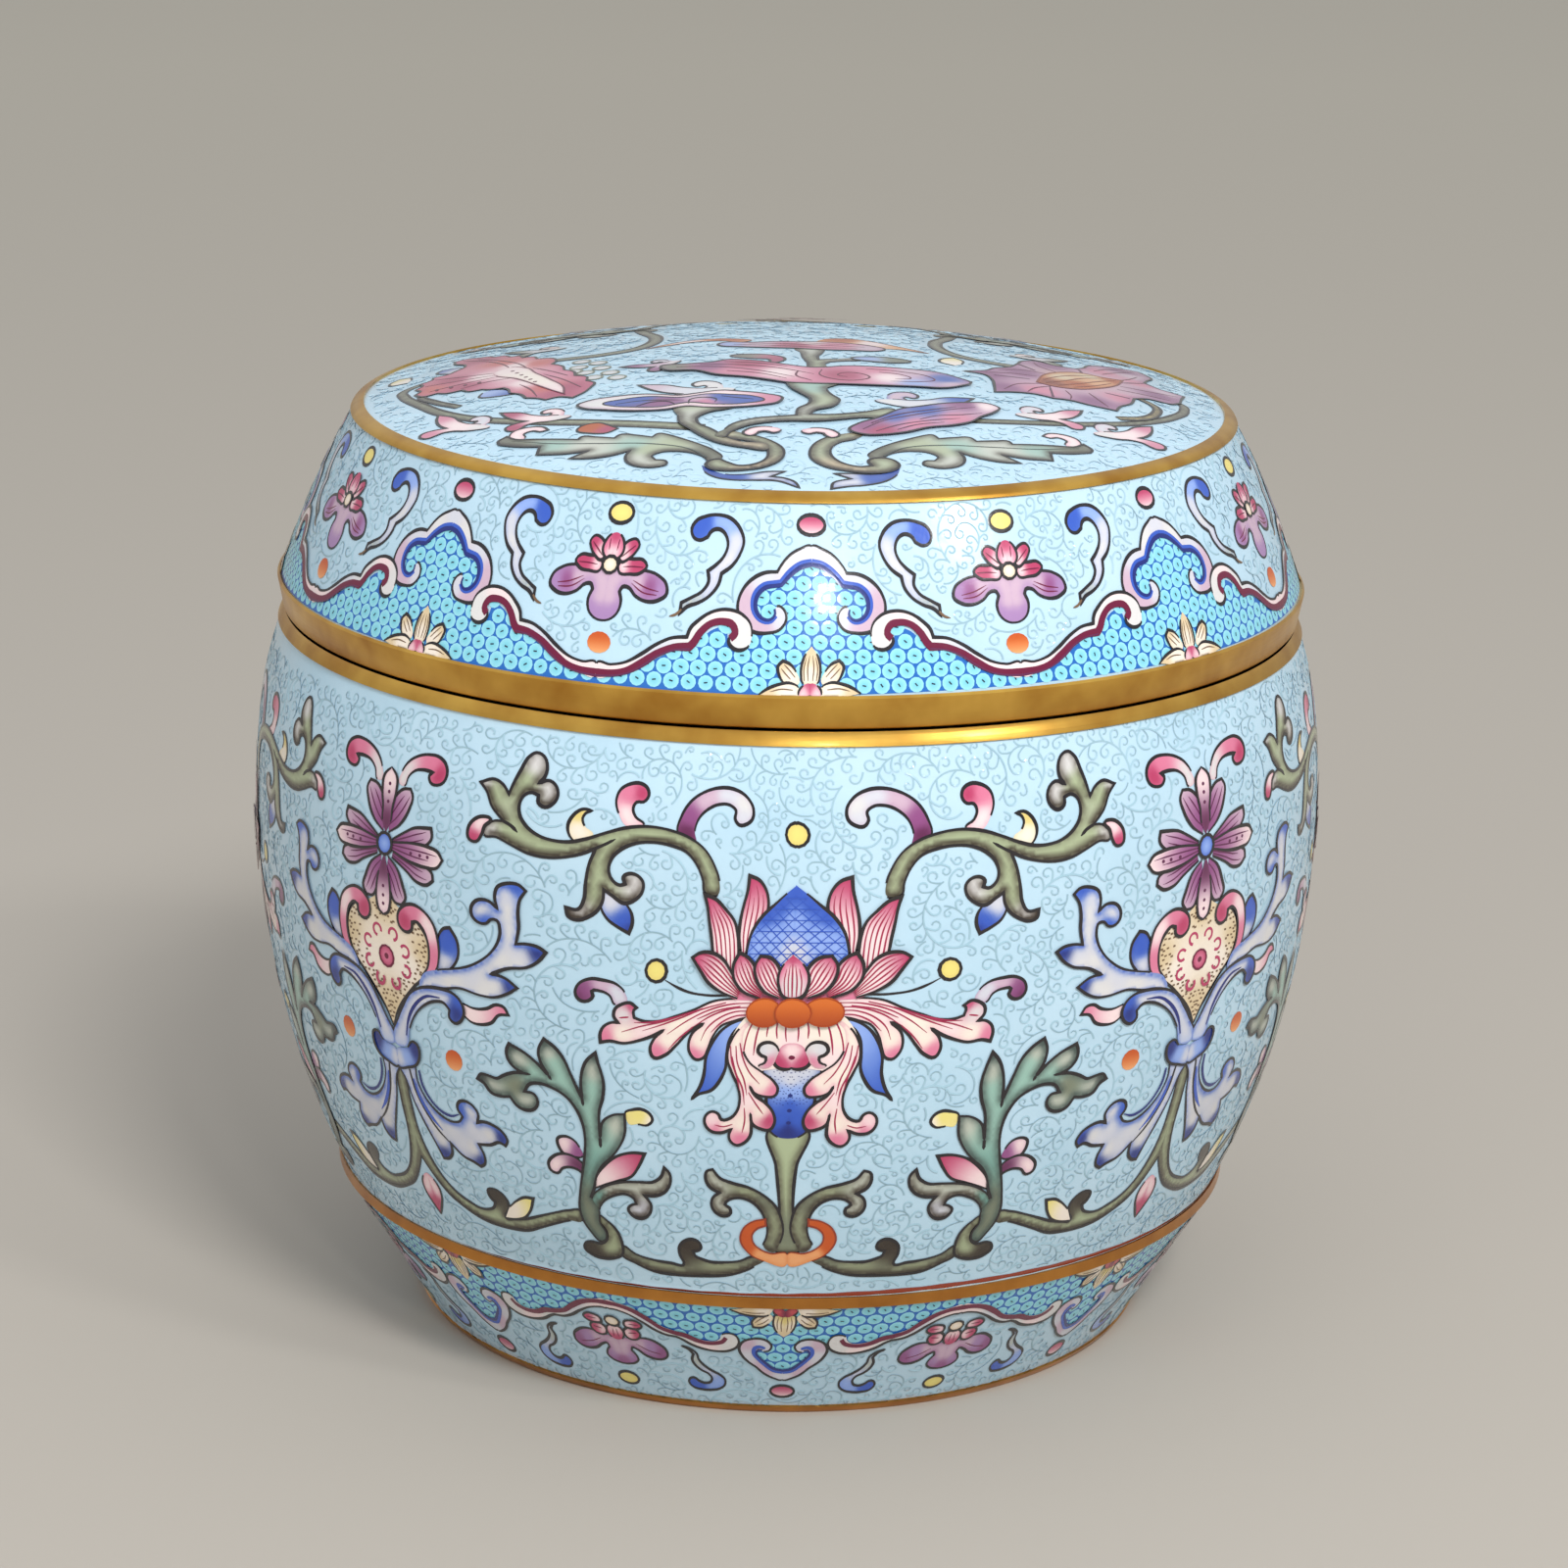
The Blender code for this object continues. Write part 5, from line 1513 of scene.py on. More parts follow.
# %% The hooks, their leaves and tails
leaf((9.8, -46))
leaf((-9.3, -47.5), flip=True)
NET = "-27.4,-3.4 -25.2,-5.2 -27.6,-6.8 -24.6,-8.4 -26.6,-10.2 -23.4,-11.4 -25.4,-13.2 -22.4,-14.2 -28.2,-9"
for net_at in places(NET)[0]:
    dome.dot(*net_at, 1.15, 1.1, "mist", "ash", line="slate", width=0.3)
TAIL = {"edge": "navy", "reach": 0.5, "strength": 0.6, "width": DOME_INK}
dome.shape("""12.8,-47!~ 12.4,-49.4 11,-51.4 8.6,-52.8 6.5,-53.4 4.6,-54.2! 4.8,-52.6 6.9,-51.3!
    4.9,-50.1! 7,-49.9 9.5,-49.8 11.3,-49~""", "sky",
    "11.6,-49.6 blue;9.4,-51 blue;7,-52.4 mist;6,-50.2 white", **TAIL)
dome.shape("""-10.9,-48!~ -10.5,-49.8 -9,-51.5 -7,-52.2 -4.5,-52.3 -2,-52.4 0.8,-54.2! 0.2,-52.6 -1,-51.7
    -2.6,-51.3! -0.9,-49.9! -3,-50 -5.6,-50.7 -8,-50.6~""", "sky",
    "-9.8,-49.8 blue;-7,-51.4 blue;-3.4,-51.8 mist;-2,-50.4 white", **TAIL)
HOOK = {"edge": "bark", "reach": 0.9, "strength": 1.0, "width": DOME_INK}
dome.shape("""8.4,-38.2~ 5,-39 3,-41 2,-44 2.2,-46.4 3.8,-48.4 6.6,-49.4 9.6,-49.5 11.8,-48.6 12.7,-46.8
    11.8,-45.4 10.2,-45.2 9,-46.2 9.4,-47.6! 8,-48 6,-47.3 4.7,-45.6 4.5,-43.4 5.6,-41.2 7.6,-39.8~""",
    "tan", "5,-40.4 moss;3.2,-44 moss;6,-48.6 tan;10.8,-46.8 moss", **HOOK)
dome.shape("""-9,-38.3~ -5.4,-39.4 -2.7,-41.4 -1.2,-44 -1.5,-47 -3.5,-49 -6,-49.8 -8.5,-49.8 -9.9,-49.2
    -10.4,-48 -9.9,-47 -8.9,-46.7 -8,-47.5! -6.4,-48.6 -4.6,-48.2 -3.3,-46.8 -3,-45 -3.4,-43.2 -4.8,-41.8
    -7,-40.8 -9.6,-39.8~""", "tan", "-5,-40.4 moss;-2.2,-44 moss;-5,-49.2 tan;-9.2,-48.4 moss", **HOOK)
for curl_u, flip in ((0.6, False), (-1.2, True)):
    curl = moved("0.3,0~ 1.4,0.9 3,1 4.4,0.2 4.9,-1.2 4,-1.9 3.3,-1.3 3,-0.6! 2.2,-0.4 1.2,-0.9",
                 (curl_u, -38), flip=flip)
    dome.shape(curl, "blush", "", "rose", 0.4, 0.6, DOME_INK)

# %% The trunks
dome.shape("""-14.8,-30~ -14.2,-32.5 -13.9,-35 -12.6,-37.2 -11.2,-39.4 -9.4,-41.6 -6,-43.4 -3,-44~
    -3,-42.8~ -6.4,-41.6 -8.6,-39.6 -10,-37.5 -11.6,-35.5 -11.8,-33.5 -10.4,-31.6 -7.6,-30.2~""", "moss",
    "-12.8,-33 ash;-11,-38 moss;-6,-42.6 tan", **HOOK)
dome.shape("""-9.4,-40~ -8.4,-37.8 -7.4,-36 -5,-34.3 -2,-33.5 0.3,-33! 0.5,-30.5 1.8,-28.5 2,-26.8
    0.8,-24.5 -0.5,-22 -0.9,-19.6~ 5.6,-19.6~ 4,-22.4 4.5,-24.5 5.6,-26.8 4.8,-29.2 2.5,-31 2,-32.6!
    5,-32.3 8,-31.2 12.4,-29.4~ 12.4,-31.6~ 8,-33 3,-34.7 -2,-35.1 -5.6,-36.6 -7.6,-38.6 -8.6,-40.4~""",
    "moss", "2.6,-22 mint;3.4,-27 moss;-4,-35 ash;6,-32.4 moss;1.2,-31 ash", **HOOK)
dome.shape("""0,-0.2~ 0.7,-3 1,-6 1.6,-9 2.4,-13~ 4.2,-13~ 3.9,-9.6 4.4,-8.4! 6.4,-7.4 8.4,-6.6~ 8,-5.6~
    5.4,-6.3 3,-7.2! 2.9,-5 3.4,-3 3.4,-0.2~""", "moss", "2,-2 ash;2.8,-10 moss;6,-6.8 ash", **HOOK)

# %% The fungus caps
CAP = {"edge": "purple", "reach": 0.6, "strength": 0.45, "width": DOME_INK}
dome.shape("""-26.8,-26 -25.5,-24.6 -22.5,-23.8 -19,-23.6 -16.5,-24.2 -14.4,-24.9 -12,-24.3 -9,-23.4
    -6.5,-24 -3.5,-25 -1.5,-26.4 -2,-28.2 -4,-29.3 -7,-30 -11,-29.9 -13,-29.3 -16,-30.1 -20,-29.8
    -23.5,-28.6 -26,-27.3""", "blush",
    "-25,-26.2 white;-20,-24.2 white;-10,-24 blush;-3,-27 pink;-16,-29.6 blush;-8,-29.4 blush", **CAP)
dome.shape("""-23.6,-26.5 -21,-25.2 -18,-24.8 -14,-25.8 -10.5,-24.8 -8,-25.2 -5,-26 -3.7,-27.3 -6,-28.8
    -10,-28.9 -13,-28 -16.5,-29.2 -20,-28.6 -22.5,-27.6""", "purple",
    """-22,-26.6 blue;-19,-25.8 blue;-16,-27 purple;-12,-26 lilac;-9,-26.4 blue;-6,-27.4 blue;
    -11,-28 pink;-17,-28.4 purple""", "navy", 0.4, 0.5, 0.26)
dome.strokes("""-19.4,-28.4 -17.6,-27.2 -15.4,-27.4 -14.6,-28.6 / -13,-28.4 -12.8,-26.8 -11.2,-26.2
    -9.6,-27 -9.8,-28.2 / -22,-27 -19,-26.4 -16,-26.6 -13.6,-27 / -9,-25.8 -7,-26.6 -5,-27.2""",
    0.24, "ink")
dome.shape("""6.8,-37.5 7.8,-35.2 10,-33 11.5,-31 13,-29 15.5,-27.3 18.5,-25.2 21.5,-23.8 24,-23.2
    25.4,-24.4 24.8,-26.2 23,-28.8 21.8,-31 19.5,-33 16.5,-34.6 13.5,-37 11,-38.2 8.5,-38.6""", "lilac",
    """9,-35.6 purple;12,-31.6 blue;16,-28.4 blue;21,-25 purple;24,-24.4 blush;20,-30.6 pink;15,-34 pink;
    10.5,-37 rose""", **CAP)
dome.strokes("""8.4,-37 11,-33.6 14.4,-31 18.4,-28 22.4,-25.4 / 10,-37.4 13,-34.6 16.4,-32.4 20.4,-30.4 /
    12.6,-36.4 15,-34.2 18.4,-32.4 / 9.4,-34.8 12.6,-31.2 16,-28.8 20,-26.2 / 15.4,-32.2 17.4,-30.4
    20.6,-29 23.2,-27.4""", 0.26, "plum")
dome.shape("""-17,-11 -16.4,-12.8 -12.4,-13.8 -10,-16 -6,-17.5 -3,-19 -1,-20 2,-20.3 6,-20 11,-19.6 15,-19
    19,-18.2 21,-16.4 22.2,-14.6 20.6,-12.8 18.5,-11.3 14,-10.7 9.5,-10.8 6.5,-11.2 4,-12.3! 2,-12.6
    -1,-11.5 -3,-10.3 -6,-9 -8.5,-8.6 -10.5,-9.8 -13.5,-10.3""", "pink",
    """-15.6,-11.8 slate;-11,-11.6 purple;-6,-11 rose;-7,-15 pink;-2,-15.6 blush;6,-16 rose;12,-16 blush;
    10,-12 pink;19,-14.4 blue;20,-16.6 lilac;15,-17.8 sky;15,-12 lilac""", **CAP)
dome.strokes("""-15,-11.8 -10,-12.4 -5,-14.4 0,-17.6 / -12,-11 -7,-11.6 -2,-13.4 2.4,-16 / -9,-9.8
    -5,-10.6 -1,-12.4 / -8.6,-14.6 -4.4,-16 -1,-18.4 / 3.4,-13.6 3.2,-16.4 4.8,-18 8,-18 9.4,-16.4
    8.2,-14.8 6.2,-14.8 5.4,-16.2 6.6,-16.8 / 9,-12.2 13.4,-12.6 16.6,-13.6 17.6,-15.2 15.6,-16.8 12,-17.6
    / 10.6,-13.6 13.6,-14.2 14.6,-15.4 12.6,-16.4 / 0.4,-14.6 0.2,-17 2.2,-19.2""", 0.26, "wine")
dome.shape("-8.2,-5.2 -6,-4.3 -3,-4.8 -1.6,-6 -1.6,-8.5 -2.8,-9.4 -3.4,-7.5 -5.5,-7", "pink",
    "-7,-5.4 slate;-2.4,-8 rose", **CAP)
dome.shape("7.2,-5.6 9.5,-4.2 12.5,-4 14.8,-5.4 13,-6.8 10,-7", "mint", "13.4,-5.4 slate;9,-5.6 sky",
    "pine", 0.5, 0.6, DOME_INK)
for path, dabs in [
    ("3,4.4~ 3.6,7.4 6.6,8.6 10,7.2 13,4.8 17.4,1.4! 13,2.4~ 11,2~ 6,4~",
     "6,7.4 orange;10,5.6 blush;14,3.6 peach"),
    ("-19.4,1.6! -16,4.8 -12,7.1 -8.4,7.2 -5.8,5.4 -7,4.4~ -9.6,5.6 -12.6,5.4 -16,3.6",
     "-14,5.4 blush;-9,6.4 orange"),
]:
    dome.shape(path, "peach", dabs, "tan", 0.4, 0.4, 0.26, "rust")
dome.shape("""-10,2.2 -9.3,4 -6,3.9 -3,4.6 0,4.8 3,5 7,4.6 10,3.4 11.6,1.8 10.8,0.2 7,-0.4 3,-0.6 -1,-0.2
    -4,0.2 -7,0.7 -9.5,1.4""", "pink",
    "-8.6,2.6 sky;-5,3 lilac;0,2 rose;5,2.4 pink;9.6,1.6 lilac;2,4.2 blush", **CAP)
dome.strokes("-8,2.4 -3,1.6 3,0.8 8,1 / -6,3.2 -1,3 4,2.4 9,2.2 / 0,4 4,3.6 7,3.6", 0.24, "wine")

# %% The red flower at the left
dome.shape("""-44.8,11.2! -43.4,12 -41.4,11! -40.6,11 -39.4,9.2! -38.4,9.2 -37.2,7! -36.2,6.8 -35.4,4.6!
    -34.2,4.4 -33.4,2.2! -31.4,1.2 -30.8,-1 -31.2,-3! -29.8,-5 -29.4,-7.6! -28.2,-9 -27.8,-11.6!
    -26.4,-12.6 -26.2,-14.8! -25.2,-16 -25.6,-18.4! -26.2,-20 -27.6,-22! -29.4,-21 -31,-21.6! -32.2,-20.4
    -33.6,-19.6! -34.4,-17.6 -35.8,-16.2! -36.2,-14.2 -36.8,-13.2! -38.4,-13 -39.6,-12.2! -41.2,-12.2
    -42.2,-10.8! -44.2,-11 -45.4,-10! -47,-10.4 -48.4,-8.6! -47.8,-7 -48.6,-5.4! -47.8,-4 -48.2,-2.2!
    -46.8,-1 -46.8,0.6! -45,0.8 -44,2.4! -43,4.4 -43.2,6.6 -44.4,8.4""", "pink",
    """-41,8 rose;-38,3 coral;-36,-1 blush;-44,-4 rose;-40,-5 blush;-36,-7 blush;-32,-10 pink;
    -28.4,-17 rose;-31,-16 coral;-34,-12 blush;-46.6,-7 coral;-42,-9 rose;-33,-1 coral;
    -29.6,-19.6 rose""", "rose", 0.7, 0.7, DOME_INK)
dome.strokes("""-43.6,10.4 -40.4,6.4 -38,2 -36.4,-3 / -41.6,9.6 -38.4,5 -35.6,0 -34,-5 / -46.4,-1.4 -42,-3
    -38,-4 / -47.4,-4.6 -43,-5 -38.4,-5.2 / -46.6,-8.4 -42.4,-7.2 -38,-6.4 / -42.4,-10 -39.4,-8.6 -36,-8.4
    / -28.6,-20.4 -30.6,-16 -33,-12 -35.6,-8.4 / -26.8,-17.6 -29.2,-13 -32,-8.6 / -32.2,-19.6 -33.2,-16
    -34.8,-12.6 / -28.8,-11 -31.4,-7 -33.6,-4""", 0.26, "wine")
dome.shape("""-38.6,-3.4~ -36.6,-1.6 -34.6,-3.4 -33,-7.6 -31,-12 -29,-17 -28.8,-20! -30.6,-17.4 -33,-13.4
    -35.6,-9 -38.2,-5.8~""", "cream", "-36.6,-3.4 blush;-33,-9.6 cream;-30,-17 blush",
    "rose", 0.3, 0.4, 0.26, "wine")
for seed_v in (-4.4, -6, -7.6, -9.2, -10.8, -12.4):
    dome.dot(-36.2 - 0.42 * (seed_v + 4.4), seed_v, 0.3, 0.3, "wine", line=None)
for seed_u in (-45.6, -43.8, -42, -40.2):
    dome.dot(seed_u, -8.2, 0.28, 0.5, "wine", line=None)

# %% The purple flower at the right
dome.shape("""45.6,16.4! 43.4,15.4 41,13.6 38.6,10.8 37.6,7.2 36.6,5.4! 33.6,5 31.4,6 29.6,4.4 28.8,1.6!
    27.6,-1.6 25.4,-4 24.6,-5.6 21.6,-7.8! 24.2,-8.4 25,-10.4 25.2,-13.4 25.2,-16.8! 27.6,-15.6 30.4,-15
    32.6,-15.6! 34.6,-15.2 37.4,-15.8 40.6,-16! 41.2,-13.6 42.8,-10.6 43.4,-7.4! 45.4,-5.6 48.2,-5.4
    49.6,-3.4! 50,-0.6 50.6,2.4! 47.4,3.4 45.6,5.4! 46.2,8.4 47,11.4 46.4,14""", "lilac",
    """43,12 purple;40,7 pink;33,4 purple;29,-4 purple;24.6,-8 purple;26.6,-14 purple;31,-13 pink;
    38,-13.6 purple;42,-9 pink;47,-2 purple;48.4,1.6 lilac;45,4 pink;44.6,9 lilac;36,-2 peach""",
    "purple", 0.9, 0.75, DOME_INK)
dome.strokes("""37.4,1.4 37,5 / 31,-1.4 28.8,1.4 / 30,-7.4 25.4,-8 / 32.4,-10 32.6,-15 / 39.6,-7.6 42.8,-8
    / 42.4,1.4 45.4,4.8""", 0.34, "plum", (0.4, 1))
dome.strokes("""40,5 42.6,10 45,14.6 / 39,6.4 41,10.6 43.6,14 / 34,-0.4 31.6,2.2 31,4.6 / 32.6,-2.4
    29,-2.4 26,-4.6 / 31,-5 27.4,-5.6 23.6,-7.4 / 31.4,-9 28.4,-11 26.4,-14.8 / 32.6,-9.6 30.4,-12
    29.4,-14.4 / 34.4,-10.6 35,-13 34.8,-14.8 / 37.4,-9.6 38.6,-12.6 39.6,-15 / 41.4,-4 45,-3.6 48.4,-3.4
    / 42,-1.4 46,-0.6 49.6,0.6 / 42,2.6 43.6,5.6 45,9.6""", 0.22, "wine")
dome.shape("30.8,-8.6! 33,-9.4 36,-8.6 39,-5.6 41.4,-1.6 42.6,3.2! 40,2.4 37.4,2.6 34.4,0.4 32,-3.4",
    "peach", "32.6,-7.6 rust;36,-5.4 orange;39,-2 peach;41.4,1.6 orange;34.4,-3 tan;38,1 tan",
    "orange", 0.6, 0.7, 0.26, "rust")
dome.strokes("""32,-8 34.6,-5 37,-1.4 40,1.8 / 33.6,-8.4 36.4,-5.2 39,-1.6 41.6,2 / 31.8,-6.4 33.6,-3.4
    36,-0.4 38.6,1.8 / 35.6,-8 38.4,-4.8 40.8,-1""", 0.26, "rust")

# %% The far half
for flip in (False, True):
    across = -1 if flip else 1
    leaf((18.8 * across, 19.8), -16 * across, 0.9, flip)
    leaf((19.6 * across, 24.6), 196 * across, 0.6, not flip, False)
    sprig((13.4 * across, 33.2), 30 * across, 1.2, flip)
    sprig((21.4 * across, 30.2), 12 * across, 1.3, flip, ("mist", "blue", "lilac"))
for turn in range(10, 370, 40):
    petal = moved("1.8,-1 3.4,-2.1 5.6,-2.2 8.2,0! 5.6,2.2 3.4,2.1 1.8,1", (0, 40.4), turn)
    dome.petal(petal, "blush", "rose", 3, width=DOME_INK)
dome.dot(0, 40.4, 2.3, 2.2, "orange", "peach", line="rust", width=0.3)
for dot_at in (-9.4, 9.4):
    dome.dot(dot_at, 28.4, 1.4, 1.3, "yellow", "straw", width=DOME_INK)
spots, tones, faces = dome.lift()
# Greying the dome's tones towards their mean paints in the sheen of the glaze seen at a glancing angle.
tones = tones * (1 - DOME_SHEEN_GREYING) + tones.mean(1, keepdims=True) * DOME_SHEEN_GREYING
enamelled.append(painted("lid_flowers", spots, tones, faces, on_dome(dome_line, DOME_TURN)))
print("dome:", dome.coats.max(), "coats at most")

# %% [markdown]
# ## The scroll on the ground
# Every bare patch of blue is filled with a fine raised scroll: long curved stems with small hooks on
# both sides. No two are alike, so the scroll isn't drawn but grown. Seeded stems start all over the
# ground and run until they meet paint or each other, and each then puts out its hooks. A quarter of
# each wall is grown and set round four times, where the eye can't tell, and the dome is grown whole.

# %% Growing on the bare ground
SCROLL_WIDTH, SCROLL_STEP, SCROLL_GAP = 0.22, 0.33, 0.32
SCROLL_RISE, SCROLL_TILT = 0.012, 0.055
QUARTERS = 4
LONG_STEMS = 5.0, (8.0, 15.0), (3.0, 6.0), 12
SHORT_STEMS = 3.0, (3.2, 6.0), (1.6, 3.2), 8
LONE_HOOKS = 1.0


def disc(reach):
    """Offsets to all the cells within reach of one."""
    span = np.arange(-reach, reach + CELL / 2, CELL)
    across, up = (a.ravel() for a in np.meshgrid(span, span))
    return np.column_stack([across, up])[np.hypot(across, up) <= reach + TINY]


class Ground:
    """One flat stretch of ground in mm, the cells that are taken, and the lines grown on it."""

    def __init__(self, width, height, painted_at, seed):
        self.random = np.random.default_rng(seed)
        self.columns, self.rows = round(width / CELL), round(height / CELL)
        self.size = np.array([self.columns, self.rows]) * CELL
        self.taken = np.zeros((self.rows, self.columns), bool)
        across, up = np.meshgrid(np.arange(self.columns) + 0.5, np.arange(self.rows) + 0.5)
        spots = np.column_stack([across.ravel(), up.ravel()]) * CELL
        self.cover(spots[painted_at(spots)], SCROLL_GAP)
        self.lines = []

    def cells(self, spots):
        """The rows and columns under some spots, and whether they are on the stretch."""
        column, row = np.floor(spots / CELL).astype(int).T
        return row.clip(0, self.rows - 1), column % self.columns, (row >= 0) & (row < self.rows)

    def cover(self, spots, reach):
        row, column, on = self.cells((spots[:, None] + disc(reach)).reshape(-1, 2))
        self.taken[row[on], column[on]] = True

    def run(self, start, heading, bends, skip=0):
        """A path that turns by each bend in turn, as far as the ground is bare, and its headings."""
        headings = heading + np.cumsum(np.concatenate([[0.0], bends]))
        ahead = np.column_stack([np.cos(headings), np.sin(headings)]) * SCROLL_STEP
        path = start + np.cumsum(np.concatenate([[[0.0, 0.0]], ahead[:-1]]), axis=0)
        row, column, on = self.cells(path[skip:])
        bare = on & ~self.taken[row, column]
        reach = len(path) if bare.all() else skip + int(bare.argmin())
        return path[:reach], headings[:reach]

    def keep(self, path):
        self.lines.append(path)
        self.cover(path, SCROLL_GAP)

    def hook(self, start, heading, side, sizes=(1.0, 0.72), skip=3):
        """A short lead that curls up, if there is room for most of it."""
        for size in sizes:
            size = size * self.random.uniform(0.85, 1.15)
            lead = np.full(round(1.0 * size / SCROLL_STEP), SCROLL_STEP / (2.4 * size))
            tight = np.linspace(0.66, 0.38, round(2.9 * size / SCROLL_STEP)) * size
            bends = side * np.concatenate([lead, SCROLL_STEP / tight])
            path, _ = self.run(start, heading, bends, skip)
            if len(path) > 0.8 * len(bends):
                self.keep(path)
                return

    def stem(self, start, length, radius, tries):
        """The longest of a few stems from a start, with hooks on both sides and at its end."""
        best = [], [], 1
        for _ in range(tries):
            side = self.random.choice([-1, 1])
            wide = self.random.uniform(*radius)
            count = round(self.random.uniform(*length) / SCROLL_STEP)
            bends = side * SCROLL_STEP / np.linspace(wide, wide * 0.45, count)
            path, headings = self.run(start, self.random.uniform(0, 2 * math.pi), bends)
            if len(path) > len(best[0]):
                best = path, headings, side
        path, headings, side = best
        if len(path) * SCROLL_STEP < length[0] * 0.6:
            return
        self.keep(path)
        self.hook(path[-1], headings[-1] + side * 0.1, side)
        for number, at in enumerate(range(1, len(path) - 2, 2)):
            out = side if number % 2 else -side
            self.hook(path[at], headings[at] + out * 0.65, out)

    def starts(self, pitch):
        """Bare starts on a loose grid, in no order."""
        across, up = (np.arange(0, size, pitch) for size in self.size)
        spots = np.stack(np.meshgrid(across, up), axis=-1).reshape(-1, 2)
        return self.random.permutation(spots + self.random.uniform(0, pitch, spots.shape))

    def grow(self):
        """Long stems first, then shorter ones, and single hooks in what is left."""
        for pitch, length, radius, tries in (LONG_STEMS, SHORT_STEMS):
            for start in self.starts(pitch):
                self.stem(start, length, radius, tries)
        for start in self.starts(LONE_HOOKS):
            self.hook(start, self.random.uniform(0, 2 * math.pi), self.random.choice([-1, 1]), skip=0)
        return self


# %% The ribbon that follows each line
def scroll_tree():
    """A flat ribbon along every line, tilted a little and narrower at its end."""
    made = Geometry("Scroll", Width="Float", Rise="Float", Finish="Material")
    paths = made.add("GeometryNodeMeshToCurve", {"Mesh": made.given("Geometry")})
    level = made.add("GeometryNodeSetCurveNormal", {"Curve": paths})
    share = made.add("GeometryNodeSplineParameter")
    taper = made.math("MINIMUM", 1.0, 2.6 - share * 2.1)
    tapered = made.add("GeometryNodeSetCurveRadius", {"Curve": level, "Radius": taper})
    half = made.given("Width") / 2.0
    low = made.add("ShaderNodeCombineXYZ", {"X": half * -1.0})
    high = made.add("ShaderNodeCombineXYZ", {"X": half, "Y": made.given("Rise")})
    brush = made.add("GeometryNodeCurvePrimitiveLine", {"Start": low, "End": high})
    ribbon = made.add("GeometryNodeCurveToMesh", {"Curve": tapered, "Profile Curve": brush})
    return made.finish(ribbon)


def scroll_line(name, low, high):
    """The raised lines, a greyer blue than the ground, between two tones."""
    made = Shader(name, Metallic=0.0, Coat_Weight=0.25, Coat_Roughness=0.06)
    made.feed("Base Color", made.mix(made.noise(120.0) * 1.2, low, high))
    made.feed("Roughness", made.noise(240.0) * 0.10 + 0.17)
    made.bump(made.noise(900.0), 0.00002, 0.5)
    return made.material


SCROLL = scroll_tree()
SCROLL_FINISH = scroll_line("scroll_line", colour(144, 176, 190), colour(158, 190, 204))
SCROLL_FAINT = scroll_line("scroll_faint", colour(166, 197, 211), colour(176, 205, 219))


def scrolled(name, ground, spread_out, copies, place, finish=SCROLL_FINISH):
    """The grown lines as ribbons, laid in their place: one piece."""
    stops = np.cumsum([len(line) for line in ground.lines])
    first = np.arange(stops[-1] - 1)
    edges = first[~np.isin(first + 1, stops)]
    net = bpy.data.meshes.new(name)
    flat = np.column_stack([np.concatenate(ground.lines), np.zeros(stops[-1])])
    net.from_pydata((flat * MM).tolist(), np.column_stack([edges, edges + 1]).tolist(), [])
    piece = as_piece(name, net, SCROLL, Width=SCROLL_WIDTH * MM, Rise=SCROLL_TILT * MM, Finish=finish)
    spots = np.empty(len(piece.data.vertices) * 3)
    piece.data.vertices.foreach_get("co", spots)
    corners = np.empty(len(piece.data.loops), int)
    piece.data.loops.foreach_get("vertex_index", corners)
    spots, corners = spots.reshape(-1, 3) / MM, corners.reshape(-1, 4)
    corners = np.where((turning(spots, corners) < 0)[:, None], corners[:, ::-1], corners)
    spots[:, 2] = np.abs(spots[:, 2]) + SCROLL_RISE
    laid = [place(spread_out(spots, copy)) for copy in range(copies)]
    faces = [corners + copy * len(spots) for copy in range(copies)]
    mesh = bpy.data.meshes.new(name)
    mesh.from_pydata((np.concatenate(laid) * MM).tolist(), [], np.concatenate(faces).tolist())
    mesh.materials.append(finish)
    mesh.shade_smooth()
    piece.data = mesh
    print(name, "has", len(ground.lines) * copies, "lines and", 2 * len(mesh.polygons), "triangles")
    return piece


# %% Grow it on the walls
def wall_scroll(name, painting, repeats, drawn_half, line, seed, turn=0.0, drift=0.0):
    """The scroll on a wall, grown at its true size between the painted motifs."""
    length = along(line)
    squeeze = line[:, 0].mean() / WIDEST
    half = math.pi * WIDEST / repeats

    def unrolled(spots):
        """Flat spots of true size as places in the painting."""
        flat = spots.copy()
        flat[:, 0] = spots[:, 0] / squeeze
        flat[:, 1] = np.interp(spots[:, 1], length, line[:, 1])
        return flat

    def painted_at(spots):
        flat = unrolled(spots)
        flat[:, 0] = (half - np.abs(flat[:, 0] % (2 * half) - half)) * drawn_half / half
        return painting.coats[painting.cells(flat)] > 0

    def spread_out(spots, copy):
        flat = unrolled(spots)
        flat[:, 0] += copy * 2 * math.pi * WIDEST / QUARTERS
        return swayed(flat, drift)

    ground = Ground(2 * math.pi * WIDEST / QUARTERS * squeeze, length[-1], painted_at, seed).grow()
    return scrolled(name, ground, spread_out, QUARTERS, on_wall(line, turn))


jar_scroll = [
    wall_scroll("jar_scroll", belly, BELLY_REPEATS, BELLY_HALF, belly_line, 3, drift=BELLY_DRIFT),
    wall_scroll("foot_scroll", foot, FOOT_REPEATS, FOOT_HALF, foot_line, 5),
]
side_scroll = wall_scroll("lid_scroll", side, SIDE_REPEATS, SIDE_HALF, side_line, 11, SIDE_TURN)

# %% Grow it on the dome
DOME_EDGE_GAP = 0.5


def dome_painted_at(spots):
    flat = spots + dome.left
    rim = dome_line[:, 0].max() - DOME_EDGE_GAP
    return (dome.coats[dome.cells(flat)] > 0) | (np.hypot(*flat.T) > rim)


def dome_spread(spots, copy):
    return spots + [dome.left, dome.left, 0]


